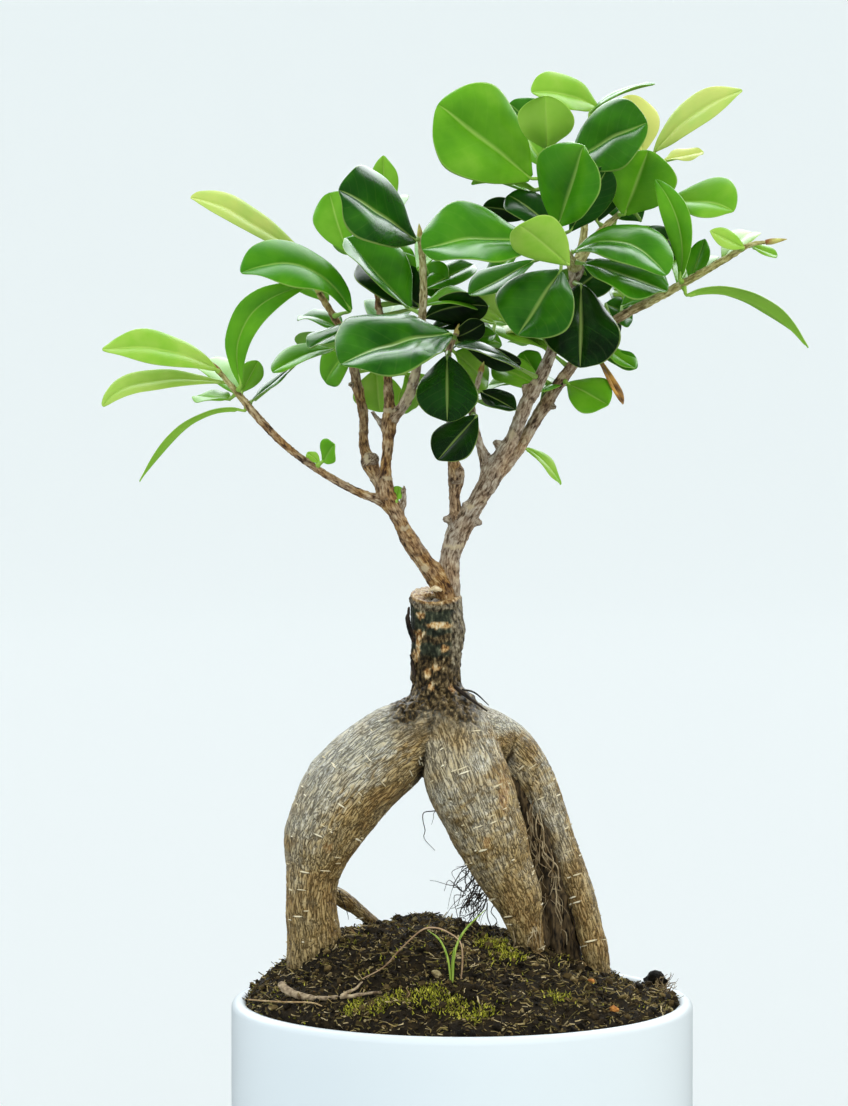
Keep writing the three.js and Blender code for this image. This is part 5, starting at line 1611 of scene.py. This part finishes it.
def build_sky(look):
    """Even light from all round, in which glossy faces mirror a dim room with a window high behind."""
    world = bpy.data.worlds.new("studio light")
    world.use_nodes = True
    tree = world.node_tree
    glossy = add_node(tree, "ShaderNodeLightPath").outputs["Is Glossy Ray"]
    way = add_node(tree, "ShaderNodeTexCoord").outputs["Generated"]
    high = add_node(tree, "ShaderNodeSeparateXYZ", {0: way}).outputs["Z"]
    behind = add_node(tree, "ShaderNodeVectorMath", {0: way, 1: (0.1, 1, 0.3)}, operation="DOT_PRODUCT")
    shares = [
        add_node(
            tree, "ShaderNodeMapRange", {"Value": value, "From Min": low, "From Max": top},
            interpolation_type="SMOOTHSTEP",
        )
        for value, low, top in ((behind, 0.22, 0.65), (high, 0.15, 0.5))
    ]
    share = add_node(tree, "ShaderNodeMath", {0: shares[0], 1: shares[1]}, operation="MULTIPLY")
    mirrored = {"Value": share, "To Min": look.room, "To Max": look.high_window}
    room = add_node(tree, "ShaderNodeMapRange", mirrored)
    strength = add_node(tree, "ShaderNodeMix", {0: glossy, 2: look.sky, 3: room}, data_type="FLOAT")
    plug(tree, tree.nodes["Background"], {"Color": linear("#f3f9fc"), "Strength": strength})
    world.cycles.sampling_method = "NONE"
    bpy.context.scene.world = world


def build_stage(look):
    """The studio floor and sky, soft lamps that light the plant alone, and the camera."""
    floor = build_floor(look.floor)
    build_sky(look)
    unlit = bpy.data.collections.new("not lit by the lamps")
    unlit.objects.link(floor)
    unlit.collection_objects[0].light_linking.link_state = "EXCLUDE"
    aim = Vector((0, 0, 0.3))
    for name, place, size, power, colour in (
        ("window", (-1.1, -1.0, 1.9), 1.2, look.window, "#f2f8ff"),
        ("fill", (1.6, -1.1, 0.8), 1.0, look.fill, "#fffaf2"),
        ("back", (0.5, 1.7, 1.6), 1.0, look.back, "#fffdf6"),
    ):
        light = bpy.data.lights.new(name, "AREA")
        light.size = size
        light.energy = power
        light.color = linear(colour)[:3]
        lamp = bpy.data.objects.new(name, light)
        lamp.location = place
        lamp.rotation_euler = (aim - Vector(place)).to_track_quat("-Z", "Y").to_euler()
        lamp.visible_camera = False
        lamp.visible_glossy = False
        lamp.light_linking.receiver_collection = unlit
        bpy.context.scene.collection.objects.link(lamp)
    camera = bpy.data.objects.new("camera", bpy.data.cameras.new("camera"))
    camera.data.sensor_width = 36
    camera.data.lens = look.lens
    camera.location = look.eye
    camera.rotation_euler = (math.radians(90) - look.pitch, 0, 0)
    bpy.context.scene.collection.objects.link(camera)
    bpy.context.scene.camera = camera
    bpy.context.scene.view_settings.view_transform = "Standard"


# Settings, operators and panel.


class PotLook(bpy.types.PropertyGroup):
    """What a user can change on the pot."""

    floor: FloatProperty(
        name="Floor", description="Thickness of the pot's floor", default=6 * MM, unit="LENGTH"
    )
    foot: FloatProperty(name="Foot", description="Rounding at the base", default=3 * MM, unit="LENGTH")
    sides: IntProperty(name="Sides", description="Facets round the pot", default=160, min=24)
    glaze: FloatVectorProperty(
        name="Glaze", description="Colour of the glaze", default=linear("#dce3e6")[:3], subtype="COLOR"
    )


class SoilLook(bpy.types.PropertyGroup):
    """What a user can change in the soil."""

    rings: IntProperty(name="Rings", description="Rings of faces on the soil", default=76, min=10)
    sectors: IntProperty(name="Sectors", description="Faces round the soil", default=290, min=24)
    roughness: FloatProperty(name="Roughness", description="How lumpy the soil is", default=1.0, min=0)
    crumbs: FloatProperty(name="Crumbs", description="Crumbs on a square metre", default=215000, min=0)
    clods: FloatProperty(name="Clods", description="Clods on a square metre", default=26000, min=0)
    fibres: FloatProperty(name="Fibres", description="Fibres on a square metre", default=300000, min=0)
    moss: FloatProperty(name="Moss", description="Moss shoots on a square metre", default=3200000, min=0)


class WoodLook(bpy.types.PropertyGroup):
    """What a user can change on the wood."""

    root_face: FloatProperty(
        name="Root face", description="Size of the faces on the roots", default=0.6 * MM, unit="LENGTH"
    )
    shoot_face: FloatProperty(
        name="Shoot face", description="Size of the faces on the shoot", default=0.44 * MM, unit="LENGTH"
    )
    crack: FloatProperty(
        name="Crack", description="Depth of the cracks in the root bark", default=0.26 * MM, unit="LENGTH"
    )
    pores: FloatProperty(name="Pores", description="Corky pores on a square metre", default=60000, min=0)


class LeafLook(bpy.types.PropertyGroup):
    """What a user can change on the leaves."""

    blunt: FloatProperty(name="Blunt", description="How much wider a blade is near its tip", default=0.16)
    thickness: FloatProperty(
        name="Thickness", description="Thickness of a blade", default=0.42 * MM, unit="LENGTH"
    )
    groove: FloatProperty(name="Groove", description="Depth of the midrib", default=0.3 * MM, unit="LENGTH")
    wave: FloatProperty(
        name="Wave", description="Waviness of the margin, as a share of its width", default=0.1
    )
    roughness: FloatProperty(name="Roughness", description="Dullness of the wax", default=0.24, min=0, max=1)


class StageLook(bpy.types.PropertyGroup):
    """What a user can change on the stage."""

    floor: FloatVectorProperty(
        name="Floor", description="Colour of the floor", default=linear("#fbfefd")[:3], subtype="COLOR"
    )
    sky: FloatProperty(name="Sky", description="Strength of the light from all round", default=0.968, min=0)
    room: FloatProperty(
        name="Room", description="Brightness of the room that glossy faces mirror", default=0.08, min=0
    )
    high_window: FloatProperty(
        name="High window", description="Brightness of the window that they mirror", default=5.4, min=0
    )
    window: FloatProperty(name="Window", description="Power of the window light", default=22, unit="POWER")
    fill: FloatProperty(name="Fill", description="Power of the fill light", default=15, unit="POWER")
    back: FloatProperty(name="Back", description="Power of the back light", default=9, unit="POWER")
    lens: FloatProperty(name="Lens", description="Focal length in millimetres", default=100.2)
    eye: FloatVectorProperty(
        name="Eye", description="Where the camera stands", default=(-0.01235, -1.0, 0.2975),
        subtype="TRANSLATION",
    )
    pitch: FloatProperty(
        name="Pitch", description="How far the camera looks down", default=math.radians(1.3), subtype="ANGLE"
    )


class BONSAI_OT_stage(bpy.types.Operator):
    """Set up the floor, the lights and the camera"""

    bl_idname = "bonsai.stage"
    bl_label = "Stage"

    def execute(self, context):
        build_stage(context.scene.bonsai_stage)
        return {"FINISHED"}


class BONSAI_OT_pot(bpy.types.Operator):
    """Turn the pot"""

    bl_idname = "bonsai.pot"
    bl_label = "Pot"

    def execute(self, context):
        build_pot(context.scene.bonsai_pot)
        return {"FINISHED"}


class BONSAI_OT_soil(bpy.types.Operator):
    """Fill the pot with peat, crumbs, fibres and moss"""

    bl_idname = "bonsai.soil"
    bl_label = "Soil"

    def execute(self, context):
        build_soil(context.scene.bonsai_soil)
        return {"FINISHED"}


class BONSAI_OT_rootstock(bpy.types.Operator):
    """Grow the roots and the old stem with their bark"""

    bl_idname = "bonsai.rootstock"
    bl_label = "Rootstock"

    def execute(self, context):
        build_rootstock(context.scene.bonsai_wood)
        return {"FINISHED"}


class BONSAI_OT_rootlets(bpy.types.Operator):
    """Grow the hair roots"""

    bl_idname = "bonsai.rootlets"
    bl_label = "Rootlets"

    def execute(self, context):
        build_rootlets()
        return {"FINISHED"}


class BONSAI_OT_scion(bpy.types.Operator):
    """Grow the grafted shoot with its bark"""

    bl_idname = "bonsai.scion"
    bl_label = "Scion"

    def execute(self, context):
        build_scion(context.scene.bonsai_wood)
        return {"FINISHED"}


class BONSAI_OT_leaves(bpy.types.Operator):
    """Grow every leaf on its stalk"""

    bl_idname = "bonsai.leaves"
    bl_label = "Leaves"

    def execute(self, context):
        build_leaves(context.scene.bonsai_leaves)
        return {"FINISHED"}


class BONSAI_OT_buds(bpy.types.Operator):
    """Add the bud at the tip of each twig"""

    bl_idname = "bonsai.buds"
    bl_label = "Buds"

    def execute(self, context):
        build_buds()
        return {"FINISHED"}


class BONSAI_OT_seedling(bpy.types.Operator):
    """Grow the grass seedling and its dead blade"""

    bl_idname = "bonsai.seedling"
    bl_label = "Seedling"

    def execute(self, context):
        build_seedling()
        return {"FINISHED"}


class BONSAI_OT_dead_twig(bpy.types.Operator):
    """Lay the dead twig and the straws on the soil"""

    bl_idname = "bonsai.dead_twig"
    bl_label = "Dead twig"

    def execute(self, context):
        build_dead_twig()
        return {"FINISHED"}


OPERATORS = (
    BONSAI_OT_stage, BONSAI_OT_pot, BONSAI_OT_soil, BONSAI_OT_rootstock, BONSAI_OT_rootlets,
    BONSAI_OT_scion, BONSAI_OT_leaves, BONSAI_OT_buds, BONSAI_OT_seedling, BONSAI_OT_dead_twig,
)


class BONSAI_PT_panel(bpy.types.Panel):
    """Lists the bonsai's pieces in the order in which they are built"""

    bl_idname = "BONSAI_PT_panel"
    bl_label = "Bonsai"
    bl_space_type = "VIEW_3D"
    bl_region_type = "UI"
    bl_category = "Bonsai"

    def draw(self, context):
        for kind in OPERATORS:
            self.layout.operator(kind.bl_idname)


LOOKS = {
    "bonsai_pot": PotLook,
    "bonsai_soil": SoilLook,
    "bonsai_wood": WoodLook,
    "bonsai_leaves": LeafLook,
    "bonsai_stage": StageLook,
}


def register():
    """Registers the settings, the operators and the panel."""
    for kind in (*LOOKS.values(), *OPERATORS, BONSAI_PT_panel):
        bpy.utils.register_class(kind)
    for name, kind in LOOKS.items():
        setattr(bpy.types.Scene, name, PointerProperty(type=kind))


def unregister():
    """Takes them away again."""
    for name in LOOKS:
        delattr(bpy.types.Scene, name)
    for kind in (BONSAI_PT_panel, *reversed(OPERATORS), *reversed(LOOKS.values())):
        bpy.utils.unregister_class(kind)


def main():
    """Builds every piece in order."""
    register()
    for kind in OPERATORS:
        getattr(bpy.ops.bonsai, kind.bl_idname.removeprefix("bonsai."))()


if __name__ == "__main__":
    main()
